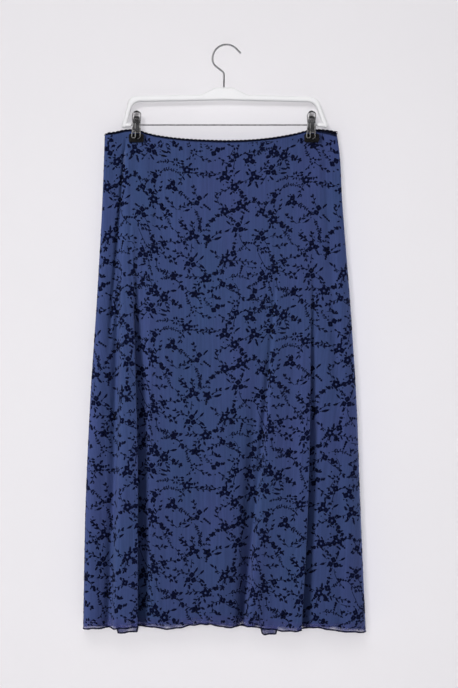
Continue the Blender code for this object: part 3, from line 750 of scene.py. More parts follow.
def cloth_look():
    """Sheer crinkled georgette: denim blue with a drift to violet, see-through only below the lining. Its crinkles'
    light and shade is partly painted into its colour, and it is painted paler where it turns see-through.
    """
    look = Look("printed_cloth", Roughness=0.85, Specular_IOR_Level=0.18, Sheen_Weight=0.07,
                Sheen_Roughness=0.4)
    drift = look.noise(look.fabric(9.0, 5.0))
    streak = look.noise(look.fabric(260.0, 9.0), 3.0, 0.6)
    crinkle = look.noise(look.fabric(620.0, 70.0), 3.0, 0.6)
    grain = look.noise(look.fabric(1900.0, 1500.0), 1.0)
    hue = look.blend(look.ranged(drift, 0.35, 0.65), CLOTH_BLUE, CLOTH_VIOLET)
    # Painted shade: lighter and darker streaks on the same noise that bumps the crinkles, standing in for their light
    # and shade.
    crinkle_shade = look.blend(look.ranged(streak, 0.30, 0.70), (0.89, 0.89, 0.90), (1.16, 1.16, 1.15))
    sheer = look.node("Attribute", {}, attribute_name="sheer").outputs["Fac"]
    look.colour(sheer, look.blend(1.0, hue, crinkle_shade, "MULTIPLY"), SHEER_BACKLIT_VIOLET)
    heights = ((streak, 0.5), (crinkle, 0.5), (grain, 0.14))
    look.bump(look.sum(*[look.ranged(part, 0.2, 0.8, 0.0, height) for part, height in heights]), 0.00035, 0.7)
    patches = look.ranged(look.noise(look.fabric(46.0, 0.0), 1.0), 0.46, 0.64, *SHEER_ALPHA)
    look.feed("Alpha", look.ranged(sheer, 0.0, 1.0, 1.0, patches))
    return look.material


def flock_look():
    """Velvety flock, almost black."""
    look = Look("flock", Roughness=1.0, Specular_IOR_Level=0.05, Sheen_Weight=0.01, Sheen_Roughness=0.4)
    nap = look.noise(look.space(1600.0))
    look.colour(nap, (0.0010, 0.0020, 0.0130), (0.0022, 0.0042, 0.0240))
    look.bump(nap, 0.0002, 0.5)
    return look.material


def lining_look():
    """Smooth woven lining."""
    look = Look("lining_cloth", Roughness=0.60, Specular_IOR_Level=0.25, Sheen_Weight=0.04,
                Sheen_Roughness=0.5)
    look.colour(look.noise(look.fabric(14.0, 10.0)), (0.034, 0.058, 0.150), (0.044, 0.066, 0.172))
    weft = look.fabric(0.0, 700.0, math.radians(90))
    look.bump(look.sum(look.wave(look.fabric(700.0, 0.0)), look.wave(weft)), 0.0001, 0.4)
    return look.material


def thread_look(name, dark, light):
    """Twisted thread or ribbed elastic, by waves along it."""
    look = Look(name, Roughness=0.90, Specular_IOR_Level=0.06, Sheen_Weight=0.01, Sheen_Roughness=0.4)
    twist = look.sum(look.wave(look.fabric(420.0, 60.0), 1.5), look.noise(look.space(900.0)))
    look.colour(look.ranged(twist, 0.3, 1.7), dark, light)
    look.bump(twist, 0.0003, 0.7)
    return look.material


def plastic_look():
    """Moulded white plastic, a little scuffed."""
    look = Look("white_plastic", IOR=1.48, Specular_IOR_Level=0.22)
    cloud = look.noise(look.space(40.0), 3.0)
    scuff = look.noise(look.space(260.0, 900.0), 3.0)
    look.colour(cloud, (0.765, 0.77, 0.775), (0.79, 0.79, 0.792))
    look.feed("Roughness", look.ranged(scuff, 0.3, 0.7, 0.42, 0.55))
    uneven = look.sum(look.ranged(cloud, 0.0, 1.0, 0.0, 0.4), look.ranged(scuff, 0.0, 1.0, 0.0, 0.2))
    look.bump(uneven, 0.0002, 0.4)
    return look.material


def chrome_look(name, dark, light, smooth, dull):
    """Plated steel: its paler and darker patches are partly a little tarnish and partly painted reflections, bright
    and dark glints laid into its colour; its roughness goes from smooth to dull.
    """
    look = Look(name, Metallic=1.0)
    tarnish_and_glints = look.noise(look.space(220.0, 90.0), 4.0, 0.6)
    # Painted reflections: the patches of paler and darker metal stand in for bright and dark glints, besides a little
    # tarnish.
    look.colour(look.ranged(tarnish_and_glints, 0.35, 0.65), dark, light)
    look.feed("Roughness", look.ranged(tarnish_and_glints, 0.3, 0.7, smooth, dull))
    look.bump(look.noise(look.space(900.0, 120.0)), 0.0001, 0.25)
    return look.material


def rubber_look():
    """Dusty black rubber."""
    look = Look("black_rubber", Roughness=0.75, Specular_IOR_Level=0.10)
    dust = look.noise(look.space(160.0), 4.0, 0.6)
    look.colour(look.ranged(dust, 0.45, 0.75), (0.003, 0.003, 0.004), (0.014, 0.013, 0.012))
    look.bump(look.noise(look.space(1200.0), 3.0), 0.0002, 0.5)
    return look.material


def wall_look(name, colour, backdrop=False):
    """Pale matt paint. A backdrop is painted on its face only, and there is nothing behind it."""
    look = Look(name, Roughness=0.9)
    look.colour(look.noise(look.space(6.0), 5.0, 0.6), tuple(0.985 * part for part in colour), colour)
    look.bump(look.noise(look.space(180.0), 3.0), 0.0006, 0.12)
    if backdrop:
        behind = look.node("NewGeometry", {}).outputs["Backfacing"]
        clear = look.node("BsdfTransparent", {}).outputs[0]
        mix = look.node("MixShader", {0: behind, 1: look.shader.outputs[0], 2: clear})
        look.fill(look.tree.nodes["Material Output"], {"Surface": mix.outputs[0]})
    return look.material


# ---- the print
# The repeat is charted in millimetres: x to the right, y down. Each column of repeats hangs lower than the
# one on its left. A stem leaves its sprig's flower at `turn` degrees, anticlockwise from the right, starts
# `gap` from the flower's edge, or at the sprig's place where there is no flower, and turns by `bend` degrees
# along its length.
REPEAT = (210.0, 280.0)
DROP = 31.0
# Where a repeat starts on each panel: metres across from the grain line, and below the waist's edge.
REPEAT_STARTS = {"front": (-0.1295, -0.002), "back": (-0.0610, -0.118)}
PRINT_MARGINS = (0.0012, 0.0022)  # what the print keeps from a panel's sides, and from its waist and hem

Stem = namedtuple("Stem", "kind turn length bend gap", defaults=(0, None))
LEAFED = ("fern", "leafy", "budded", "dots", "twig")
fern, leafy, budded, dots, twig = [partial(Stem, kind) for kind in LEAFED]


def blades(*turns, length=8, gap=None):
    """Single leaves on short stalks."""
    return [Stem("blade", turn, length, 0, gap) for turn in turns]


def sprig(x, y, flower, *stems):
    """A flower, or none, and the stems that leave it."""
    return x, y, flower, stems


SPRIGS = (
    sprig(25, 4, "ring", budded(-18, 22, -22), *blades(48, 205, 250, length=9), leafy(-78, 12, 20),
          leafy(168, 16, 14)),
    sprig(2, 27, "trio", *blades(12, -22, length=13, gap=6), *blades(262, length=11), twig(30, 6),
          twig(225, 12, 20)),
    sprig(77, 23, "rosette", fern(128, 18, -28), leafy(-38, 20, 26), twig(230, 6), *blades(20, length=6)),
    sprig(45, 43, "rosette", fern(176, 22, 26), *blades(28, -8, length=9), leafy(-38, 9)),
    sprig(65, 55, "open", leafy(-24, 30, 26), *blades(-70, 70), leafy(236, 16, 18), dots(10, 10)),
    sprig(14, 66, "rosette", fern(36, 34, -76), *blades(200)),
    sprig(10, 77, "pair", *blades(262, length=7), fern(200, 16, -20, gap=3)),
    sprig(39, 86, "trio", fern(-34, 36, -12)),
    sprig(87, 110, "pair", *blades(40, length=10, gap=1), leafy(118, 15, -18), dots(-38, 12),
          twig(196, 8, gap=1)),
    sprig(6, 114, "ring", leafy(66, 15, -14), budded(-34, 28, -6), *blades(-100, 148, 236)),
    sprig(48, 128, "", leafy(132, 22, 4, gap=1.5), leafy(46, 18, -26, gap=1.5),
          *blades(-4, length=11, gap=10)),
    sprig(78, 124, "", fern(-62, 34, -22)),
    sprig(150, 10, "rosette", *blades(176), leafy(-122, 12, 10)),
    sprig(151, 27, "bud", leafy(8, 22, 10), budded(228, 12, 20), twig(-104, 18, 4), twig(74, 7)),
    sprig(117, 22, "pair", leafy(-58, 18, 34), fern(152, 15, -26), *blades(28, length=9)),
    sprig(104, 3, "", leafy(24, 14, -40)),
    sprig(175, 35, "trio", fern(34, 34, -30, gap=3), leafy(56, 14, -50)),
    sprig(194, 6, "", fern(160, 20, 34), fern(14, 18, -36), budded(-70, 9, gap=1)),
    sprig(131, 64, "trio", leafy(164, 26, 22), *blades(76, 40, length=9), *blades(8, length=12, gap=7),
          *blades(208, length=6)),
    sprig(148, 83, "ring", leafy(196, 22, 18), *blades(62, 28, 112, 250), budded(-44, 28, -26)),
    sprig(182, 66, "trio", *blades(158, 118), *blades(-32, length=11), *blades(252, 282, length=11),
          leafy(36, 22, 24), twig(204, 8)),
    sprig(131, 126, "ring", *blades(112, 20, -10, length=9), budded(214, 30, 18), leafy(128, 12, -24, gap=6),
          fern(-52, 14, 20)),
    sprig(158, 117, "trio", leafy(12, 16, 26), *blades(-70, 232), dots(-36, 8), twig(205, 9, -10)),
    sprig(196, 128, "bud", budded(116, 18, 12), budded(-16, 12), *blades(196, 236, -70), twig(52, 6)),
    sprig(0, 143, "", leafy(16, 16, -44)),
    sprig(22, 134, "", fern(-48, 30, -18), leafy(-52, 24, -8, gap=36)),
    sprig(50, 143, "", leafy(-46, 18, -4)),
    sprig(60, 172, "", leafy(-66, 20, -24)),
    sprig(84, 164, "", fern(64, 20, 20), fern(22, 18, -30)),
    sprig(75, 172, "trio", leafy(128, 18, 18), leafy(88, 10, 12), *blades(-52, length=10),
          twig(264, 10, gap=6)),
    sprig(101, 176, "star", *blades(-14, length=17, gap=2), leafy(24, 12, 20, gap=4), dots(-100, 8)),
    sprig(146, 201, "bud", fern(24, 17, 30), *blades(196, 100)),
    sprig(4, 160, "", leafy(-24, 20, 46)),
    sprig(24, 189, "bud", leafy(24, 16, -34), *blades(104, -66, length=9), fern(190, 12, 24)),
    sprig(8, 202, "ring", budded(102, 10), leafy(-20, 22, -18), *blades(205, 240)),
    sprig(-2, 219, "rosette", fern(-88, 18, 26)),
    sprig(43, 214, "dot", *blades(24, 156, -98, gap=0.5)),
    sprig(72, 220, "trio", *blades(112, length=9), leafy(132, 22, 34), *blades(58, length=11),
          *blades(18, -6, length=13, gap=5), *blades(214, 252, length=9), leafy(-30, 26, -14)),
    sprig(97, 248, "ring", leafy(166, 20, 22), leafy(216, 14, 10), *blades(-108, length=9),
          budded(34, 24, -22)),
    sprig(11, 219, "dot", twig(-88, 14, 20, gap=0), fern(-62, 24, 44, gap=14)),
    sprig(42, 245, "star", leafy(-46, 16, -30), fern(150, 20, 28), *blades(24, -12), fern(196, 12)),
    sprig(8, 273, "trio", leafy(116, 16, 14), *blades(208, 232)),
    sprig(34, 272, "", *blades(34, length=12), twig(210, 6)),
    sprig(80, 276, "star", leafy(160, 16, -30), *blades(22, 72, length=9), twig(-60, 8)),
    sprig(154, 156, "trio", *blades(158, 184, length=12, gap=4), *blades(58, 28, length=11, gap=3),
          *blades(-30, 262, length=10), twig(120, 6), twig(-80, 32, 40)),
    sprig(154, 183, "", *blades(176, length=10), dots(0, 18, -14, gap=10)),
    sprig(194, 173, "trio", *blades(122, 168, 48), leafy(-52, 12, -20), *blades(226)),
    sprig(182, 186, "", leafy(-44, 18), leafy(-30, 26, -16, gap=12), twig(-66, 22, 4, gap=18)),
    sprig(131, 212, "open", *blades(52, length=11), leafy(158, 14, -30), dots(230, 9),
          *blades(-82, length=7), leafy(-6, 42, -4), twig(256, 14), budded(-34, 8)),
    sprig(161, 225, "", dots(-104, 12), *blades(-50, length=9, gap=12), twig(-8, 12, gap=9)),
    sprig(138, 244, "", fern(22, 32, -52), twig(-46, 18, -40, gap=14)),
    sprig(197, 244, "trio", leafy(168, 10), fern(226, 16, -30), fern(64, 14, -40), dots(-78, 8)),
    sprig(127, 256, "bud", leafy(206, 18, 16), budded(-14, 12), *blades(142, length=6), twig(-42, 18, 30)),
    sprig(110, 275, "", *blades(142, -40)),
    sprig(184, 275, "pair", *blades(130, 48, length=10), *blades(-130)),
    sprig(150, 271, "", leafy(-40, 14, -6), twig(120, 8, 30)),
)

# One side of a leaf's outline, from its stalk to its tip: the share of its length, and of its width.
LEAF_SIDE = ((0.18, 0.34), (0.46, 0.50), (0.80, 0.33))
LEAF = ((0.0, 0.0), *LEAF_SIDE, (1.0, 0.0), *[(along, -out) for along, out in reversed(LEAF_SIDE)])
RIM_HEIGHT = 0.00010
CREST_HEIGHT = 0.00034
STALK_HEIGHT = CREST_HEIGHT * 0.7
MILLI = 0.001
# How much one leaf may differ from the next: shares of its length and width, degrees, and its curve.
LENGTH_SPREAD, WIDTH_SPREAD, TURN_SPREAD, CURVE_SPREAD = 0.18, 0.16, 12.0, 0.24

# Each kind of flower: how far from its middle the stems start; its round petals, as their number, how far out
# they are, their radius and that of the bare eye between them; its pointed ones, as their number, how far out
# they start, their length and width; how many leaves ruff it; and how many small flowers it is made of.
Flower = namedtuple("Flower", "reach petals points ruff cluster")
FLOWERS = {
    "ring": Flower(7.0, (5, 4.7, 3.4, 1.9), (), 5, 0),
    "open": Flower(6.6, (5, 4.5, 3.0, 2.1), (), 5, 0),
    "bud": Flower(5.2, (4, 3.1, 3.0, 0.8), (), 3, 0),
    "star": Flower(6.0, (), (5, 0.0, 8.0, 6.0), 3, 0),
    "rosette": Flower(6.0, (), (6, 2.6, 4.8, 3.7), 0, 0),
    "trio": Flower(8.4, (), (), 5, 3),
    "pair": Flower(8.4, (), (), 3, 2),
    "dot": Flower(2.0, (), (), 0, 0),
    "": Flower(0.0, (), (), 0, 0),
}
SMALL_PETALS = (4, 2.3, 2.8, 0.35)
CLUSTER_OUT = 5.6
RUFF_OUT = 0.8
RUFF_LEAN = 55
RUFF_LEAF = (5.4, 3.0)

# How each kind of stem carries its leaves: its gap, their spacing along it, lean, length and width, and the
# share of their size that they lose by its tip.
Habit = namedtuple("Habit", "gap spacing lean length width taper")
HABITS = {
    "fern": Habit(1.5, 4.3, 44, 5.7, 2.8, 0.50),
    "leafy": Habit(1.5, 5.0, 42, 8.0, 3.8, 0.32),
    "budded": Habit(1.5, 7.2, 62, 6.2, 3.2, 0.25),
    "twig": Habit(2.5, 4.4, 48, 5.8, 2.9, 0.30),
    "dots": Habit(2.0, 4.6, 0, 0.0, 0.0, 0.0),
    "blade": Habit(0.4, 0.0, 0, 0.0, 4.0, 0.0),
}
STALK_WIDTH = 1.0
BLADE_STALK = (2.6, 0.9)  # length and width
BLADE_BEND = 50.0  # at most, either way
BLADE_LEAF = 0.86  # the share of a blade's length that is leaf
LEAF_OFF_STALK = 0.5
BUD_OFF_STALK = (1.4, 1.0)
BUD_RADIUS = 3.9
DOT_RADIUS = 2.5
STRAY_RADIUS = 1.3
STRAY_OUT = 6.5


def away(x, y, reach, turn):
    """The point at a distance from another, turned anticlockwise by radians; y is down."""
    return x + reach * math.cos(turn), y - reach * math.sin(turn)


class Print:
    """The flock's shapes on the flat cloth: points in millimetres, heights in metres, and faces."""

    def __init__(self):
        self.points, self.heights, self.faces, self.shape = [], [], [], []
        self.shapes = 0
        self.chance = random.Random(5)

    def near(self, value, spread):
        """A value a little off the one given, because no two leaves are alike."""
        return value * self.chance.uniform(1.0 - spread, 1.0 + spread)

    def add(self, points, heights, faces):
        start = len(self.points)
        self.points.extend(points)
        self.heights.extend(heights)
        self.faces.extend((self.shapes, tuple(start + corner for corner in face)) for face in faces)
        self.shape.extend([self.shapes] * len(points))
        self.shapes += 1

    def dome(self, rim):
        """A closed lens: its rim lies near the cloth and its middle stands up."""
        count = len(rim)
        middle = (sum(x for x, _ in rim) / count, sum(y for _, y in rim) / count)
        top = [(count, (corner + 1) % count, corner) for corner in range(count)]
        self.add([*rim, middle], [RIM_HEIGHT] * count + [CREST_HEIGHT], [*top, tuple(range(count))])

    def bud(self, x, y, radius, sides=9):
        """A round bud with three faint lobes."""
        radius = self.near(radius, 0.10)
        turn = self.chance.uniform(0.0, 6.0)
        rim = []
        for side in range(sides):
            angle = 2 * math.pi * side / sides + turn
            reach = radius * (1.0 + 0.10 * math.cos(3 * (angle - turn)))
            rim.append((x + reach * math.cos(angle), y + reach * math.sin(angle)))
        self.dome(rim)

    def leaf(self, x, y, turn, length, width):
        """An oval leaf from its stalk, curved a little; y is down, so a positive turn goes up."""
        length, width = self.near(length, LENGTH_SPREAD), self.near(width, WIDTH_SPREAD)
        turn = math.radians(turn + self.chance.uniform(-TURN_SPREAD, TURN_SPREAD))
        curve = self.chance.uniform(-CURVE_SPREAD, CURVE_SPREAD)
        ahead = (math.cos(turn), -math.sin(turn))
        rim = []
        for along, out in LEAF:
            side = out * width + curve * along * along * length
            rim.append((x + ahead[0] * along * length - ahead[1] * side,
                        y + ahead[1] * along * length + ahead[0] * side))
        self.dome(rim)

    def side_leaf(self, x, y, turn, length, width):
        """A leaf that starts beside a stalk."""
        across = math.radians(turn)
        self.leaf(*away(x, y, LEAF_OFF_STALK, across), turn, length, width)

    def ring(self, x, y, turn, petals, out, radius, eye):
        """A flower of round petals, side by side round a bare eye."""
        arc_steps = 6
        sides = petals * arc_steps
        half = math.pi / petals
        points, heights = [], []
        for share, height in ((1.0, RIM_HEIGHT), (0.5, CREST_HEIGHT), (0.0, RIM_HEIGHT)):
            for step in range(sides):
                angle = 2 * half * step / arc_steps + turn
                off = 2 * half * (step % arc_steps) / arc_steps - half
                rim = out * math.cos(off) + math.sqrt(max(radius**2 - (out * math.sin(off)) ** 2, 0.0))
                far = eye + share * (rim - eye)
                points.append((x + far * math.cos(angle), y + far * math.sin(angle)))
                heights.append(height)
        bands = grid_faces(4, sides, False, closed=True)
        self.add(points, heights, [tuple(corner % len(points) for corner in face) for face in bands])

    def stalk(self, line, width):
        """A thin line, as a ribbon with a raised middle."""
        points, heights = [], []
        for index, (x, y) in enumerate(line):
            before, after = line[max(index - 1, 0)], line[min(index + 1, len(line) - 1)]
            run = math.dist(before, after)
            across = (-(after[1] - before[1]) / run, (after[0] - before[0]) / run)
            for out, height in ((0.5, RIM_HEIGHT), (0.0, STALK_HEIGHT), (-0.5, RIM_HEIGHT)):
                points.append((x + across[0] * out * width, y + across[1] * out * width))
                heights.append(height)
        end = 3 * (len(line) - 1)
        sides = grid_faces(len(line), 3, True, closed=True)
        self.add(points, heights, [(0, 2, 1), (end, end + 1, end + 2), *sides])


def stem_line(x, y, turn, length, bend, steps):
    """Points and headings along a stem."""
    line = [(x, y, turn)]
    for step in range(steps):
        heading = turn + bend * (step + 0.5) / steps
        line.append((*away(*line[-1][:2], length / steps, math.radians(heading)), heading))
    return line


def draw_stem(motif, x, y, stem):
    """One stem with its leaves, leaflets, buds or dots."""
    habit = HABITS[stem.kind]
    if stem.kind == "blade":
        line = stem_line(x, y, stem.turn, BLADE_STALK[0], motif.chance.uniform(-BLADE_BEND, BLADE_BEND), 2)
        motif.stalk([point[:2] for point in line], BLADE_STALK[1])
        motif.leaf(*line[-1], stem.length * BLADE_LEAF, habit.width)
        return
    steps = max(2, round(stem.length / habit.spacing))
    line = stem_line(x, y, stem.turn, stem.length, stem.bend, steps)
    if stem.kind == "dots":
        for index, (px, py, _) in enumerate(line):
            motif.bud(px, py, DOT_RADIUS - 0.5 * index / steps, sides=6)
        return
    motif.stalk([point[:2] for point in line], STALK_WIDTH)
    for index, (px, py, heading) in enumerate(line[1:], 1):
        left = 1.0 - habit.taper * index / steps
        length, width = habit.length * left, habit.width * left
        side = 1 if index % 2 else -1
        if stem.kind == "budded":
            motif.bud(px + side * BUD_OFF_STALK[0], py - side * BUD_OFF_STALK[1], BUD_RADIUS * left, sides=8)
            motif.side_leaf(px, py, heading - side * habit.lean, length, habit.width)
        elif stem.kind != "twig" or index == steps - 1:
            motif.side_leaf(px, py, heading + side * habit.lean, length, width)
            if stem.kind == "fern" and index % 3:
                motif.side_leaf(px, py, heading - side * habit.lean, length * 0.8, width)
    motif.side_leaf(*line[-1], habit.length * 0.9, habit.width)


def draw_flower(motif, x, y, kind, turn):
    """A flower's petals, its ruff of leaves, and the small flowers of a cluster."""
    flower = FLOWERS[kind]
    if flower.petals:
        motif.ring(x, y, turn, *flower.petals)
    if flower.points:
        count, out, length, width = flower.points
        for petal in range(count):
            angle = math.radians(360 / count * petal) + turn
            motif.leaf(*away(x, y, out, angle), math.degrees(angle), length, width)
    if kind == "dot":
        motif.bud(x, y, 2.8)
    first = motif.chance.uniform(0.0, 360.0)
    for index in range(flower.ruff):
        around = first + motif.near(index * 360.0 / flower.ruff, 0.12)
        start = away(x, y, flower.reach + RUFF_OUT, math.radians(around))
        motif.leaf(*start, around + RUFF_LEAN, *RUFF_LEAF)
    for index in range(flower.cluster):
        around = math.radians(120 * index + 90) + 0.3 * math.sin(5 * turn)
        motif.ring(*away(x, y, CLUSTER_OUT, around), turn + index, *SMALL_PETALS)


def repeat_of_print():
    """The whole repeat's shapes: each sprig's stems, its flower, and a stray dot or two."""
    motif = Print()
    for index, (x, y, kind, stems) in enumerate(SPRIGS):
        reach = FLOWERS[kind].reach
        for stem in stems:
            usual_gap = HABITS[stem.kind].gap if kind else 0.0
            gap = usual_gap if stem.gap is None else stem.gap
            draw_stem(motif, *away(x, y, reach + gap, math.radians(stem.turn)), stem)
        draw_flower(motif, x, y, kind, 0.7 * index)
        for _ in range(2 if kind else 1):
            turn = motif.chance.uniform(0.0, 2 * math.pi)
            motif.bud(*away(x, y, motif.near(reach + STRAY_OUT, 0.2), -turn), STRAY_RADIUS, sides=6)
    return motif


def print_on(name, cloth, motif, begin, look):
    """The print over a whole panel, as read from outside: every shape that falls wholly inside its edges."""
    facing = normals(cloth)
    flat, heights, shape = np.array(motif.points), np.array(motif.heights), np.array(motif.shape)
    beside, beyond = PRINT_MARGINS
    points, faces = [], []
    start = 0
    for column, row in product(range(-3, 4), range(-2, 6)):
        across = -cloth.side * ((flat[:, 0] + column * REPEAT[0]) * MILLI + begin[0])
        along = (flat[:, 1] + row * REPEAT[1] + DROP * column) * MILLI + begin[1]
        left, right = (np.interp(along, cloth.along[:, 0], cloth.across[:, edge]) for edge in (0, -1))
        inside = (across > left + beside) & (across < right - beside)
        inside &= (along > beyond) & (along < LENGTH - beyond)
        whole = np.ones(motif.shapes, bool)
        np.logical_and.at(whole, shape, inside)
        keep = whole[shape]
        if keep.any():
            number = np.cumsum(keep) - 1 + start
            points.append(place_on(cloth, facing, across[keep], along[keep], heights[keep]))
            faces += [number[list(face)].tolist() for owner, face in motif.faces if whole[owner]]
            start += int(keep.sum())
    return mesh_object(name, np.concatenate(points), faces, None, look)


# ---- the skirt
THREAD_RADIUS = 0.00130
THREAD_DROP = 0.0002
THREAD_SWELLS = ((0.14, 1150), (0.10, 517))  # shares of its radius, and rates along it
STITCH_RADIUS = 0.00048
STITCH_LENGTH = 0.00075
STITCH_MARGIN = 0.001  # what the zigzag keeps from the seams
STITCH_ALONG = (0.0001, 0.0011)  # from and to, down the cloth
STITCH_UNEVEN = 0.0002
STITCH_TALLER = 0.0016  # how much deeper it goes where more of the elastic shows
STITCH_LIFT = 0.00025
BAND_COLUMNS = 300
BAND_TOP = ELASTIC_ABOVE * 0.62
BAND = ELASTIC * 0.9
PICOT_PITCH = 0.0072
PICOT_HALF = 0.44  # half a loop's width, as a share of the pitch
PICOT_RADIUS = 0.00090
PICOT_INSIDE = 0.0001  # how far a loop is set back from the band's face, and sunk into its top
PICOT_SUNK = 0.0004


def hem_thread(name, cloth, look):
    """The rolled hem: a narrow roll bound with thread, a little uneven."""
    line = cloth.points[-1] - normals(cloth)[-1] * SHELL / 2
    line[:, 2] -= THREAD_DROP
    swell = sum((share * np.sin(cloth.across[-1] * rate) for share, rate in THREAD_SWELLS), 1.0)
    return tube(name, line[1:-1], THREAD_RADIUS * swell[1:-1], look, 8)


def waist_stitches(name, cloth, look):
    """A zigzag of thread that holds the elastic to the cloth's edge."""
    reach = np.arange(cloth.across[0, 0] + STITCH_MARGIN, cloth.across[0, -1] - STITCH_MARGIN, STITCH_LENGTH)
    x = np.interp(reach, cloth.across[0], cloth.points[0, :, 0])
    deep = STITCH_ALONG[1] + STITCH_UNEVEN * np.sin(reach * 900) + STITCH_TALLER * ease(*TALL_FROM, x)
    along = np.where(np.arange(len(reach)) % 2 == 0, STITCH_ALONG[0], deep)
    line = place_on(cloth, normals(cloth), reach, along, np.full(len(reach), STITCH_LIFT))
    return tube(name, line, STITCH_RADIUS, look, 6)


def make_elastic(where, side, look):
    """The narrow elastic at the waist, with its edge of picot loops."""
    inset = CLOTH_FACE - ELASTIC_FACE
    left = through(OUTLINE, "left", WAIST_DOWN) + inset + LAYER_GAP
    right = through(OUTLINE, "right", WAIST_DOWN) - inset - LAYER_GAP
    rounding = through(DEPTHS, "rounding", WAIST_DOWN) - inset - LAYER_GAP
    x = np.linspace(left, right, BAND_COLUMNS)
    stands = standing(x, WAIST_DOWN, left, right, rounding, inset, 2.0)
    stands[0] = stands[-1] = SEAM_GAP / 2
    top = waist_edge(side, x)
    middle = (left + right) / 2
    wider = middle + (x - middle) * (1.0 + 2 * inset / (right - left))
    heights = (BAND_TOP, BAND_TOP * 0.5, 0.0, -ELASTIC_BELOW * 0.5, -ELASTIC_BELOW)
    points = [np.column_stack((wider if height > 0 else x, side * stands, top + height))
              for height in heights]
    uv = [(place, height) for height in heights for place in x]
    faces = grid_faces(len(heights), BAND_COLUMNS, side > 0)
    band = mesh_object(f"{where}_elastic", np.concatenate(points), faces, uv, look)
    thicken(band, BAND)
    attach(band, "dark_elastic", f"waist_elastic_{where}")
    picots = Soup()
    turns = np.linspace(0.0, math.pi, 8)
    for place in np.arange(wider[3], wider[-3], PICOT_PITCH):
        loop_x = place + PICOT_PITCH * (0.5 - PICOT_HALF * np.cos(turns))
        loop_y = side * (np.interp(loop_x, wider, stands) - PICOT_RADIUS - PICOT_INSIDE)
        foot = np.interp(loop_x, wider, top) + BAND_TOP - PICOT_SUNK
        loop_z = foot + (PICOTS_ABOVE - BAND_TOP) * np.sin(turns)
        add_tube(picots, np.column_stack((loop_x, loop_y, loop_z)), PICOT_RADIUS, 6)
    return [band, attach(picots.make(f"{where}_picot_loops", look), "dark_elastic")]


def hung_sheet(piece, cloth, rests_on, with_pieces):
    """Declares a hung piece of cloth, with the width, length and area of its flat cut."""
    widths = cloth.across[:, -1] - cloth.across[:, 0]
    area = float(np.trapz(widths, cloth.along[:, 0]))
    flat = (float(widths.max()), LENGTH)
    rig.sheet(piece, flat=flat, held="hung", area=area, rests_on=rests_on, with_pieces=with_pieces)


def make_skirt(looks):
    """Both panels with their trimmings and linings; it returns the back's that show below the front."""
    motif = repeat_of_print()
    parts = np.concatenate(([0.0], *[np.linspace(*band)[1:] for band in CLOTH_ROWS]))
    panels = (
        ("front", -1, FRONT_HEM, FRONT_LAPS, FRONT_WAVES, FRONT_CREASES, (), 1.3),
        ("back", 1, BACK_HEM, BACK_LAPS, BACK_WAVES, BACK_CREASES, BACK_DIPS, 2.9),
    )
    for where, side, hem, laps, waves, creases, dips, ruffle in panels:
        cloth = layer(side, hem, parts, CLOTH_COLUMNS, laps, waves, creases, dips, ruffle=ruffle)
        panel = cloth_shell(f"{where}_cloth", cloth, looks["cloth"])
        attach(panel, "printed_cloth", f"{where}_panel")
        flock = print_on(f"{where}_flock_print", cloth, motif, REPEAT_STARTS[where], looks["flock"])
        thread = hem_thread(f"{where}_hem_thread", cloth, looks["thread"])
        stitches = waist_stitches(f"{where}_waist_stitches", cloth, looks["elastic"])
        for piece, slot in ((flock, "printed_cloth"), (thread, "printed_cloth"), (stitches, "dark_elastic")):
            attach(piece, slot)
        trimmings = [flock, thread, stitches, *make_elastic(where, side, looks["elastic"])]
        hung_sheet(panel, cloth, [f"{name}_clip_pad_front" for name in CLIP_X], trimmings)
        under = layer(side, LINING_HEM, np.linspace(0.0, 1.0, LINING_ROWS), LINING_COLUMNS, lining=True)
        lining = cloth_shell(f"{where}_lining_cloth", under, looks["lining"])
        attach(lining, "lining_cloth", f"lining_{where}")
        bound = hem_thread(f"{where}_lining_hem_thread", under, looks["thread"])
        hung_sheet(lining, under, [panel], [attach(bound, "lining_cloth")])
    return [panel, flock, thread]


# ---- the hanger
ROD_Z = sum(corner.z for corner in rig.box("hanger_rod")) / 2
WIRE_RADIUS = 0.00185
CROWN_RADIUS = 0.0245
CROWN_TURN = (34.0, 185.0)  # degrees from the right: from the tip's side to the heel
HEEL_RADIUS = 0.0170
HEEL_END = 232.0
HOOK_TIP = (0.0252, -0.0134)
TIP_FLARE = (0.0, 0.04, 0.12, 0.3, 0.6)  # places on the way from the tip to the crown, as shares
TIP_TAPER = (0.45, 0.80, 0.97)  # the wire's radius at the first three of them, as shares
KNEE_RADIUS = 0.0060
NECK_X = -0.0044
NECK_BOTTOM = -0.0850
COLLAR_Z = (-0.0752, -0.0728)
COLLAR_RADII = (0.0036, 0.0031)
ARCH_HALF_DEPTH = 0.0045
ARCH_EDGE = 0.0042
# Corners here are an x, a z and the radius that rounds it.
ARCH = (
    (-0.1845, -0.1445, 0.0035),
    (-0.1695, -0.0880, 0.0160),
    (-0.0460, -0.0862, 0.0200),
    (-0.0200, -0.0735, 0.0100),
    (0.0120, -0.0735, 0.0100),
    (0.0380, -0.0862, 0.0200),
    (0.1590, -0.0895, 0.0200),
    (0.1795, -0.1440, 0.0035),
    (0.1700, -0.1440, 0.0035),
    (0.1535, -0.0990, 0.0170),
    (-0.0040, -0.0955, 0.0),
    (-0.1635, -0.0985, 0.0170),
    (-0.1758, -0.1445, 0.0035),
)
BOSS_RADII = (0.0040, 0.0040, 0.00384, 0.0032)
BOSS_EDGE = 0.0008
BOSSES = ((-0.1790, -0.1668), (0.1735, 0.1590))  # from the leg, and to the boss's end


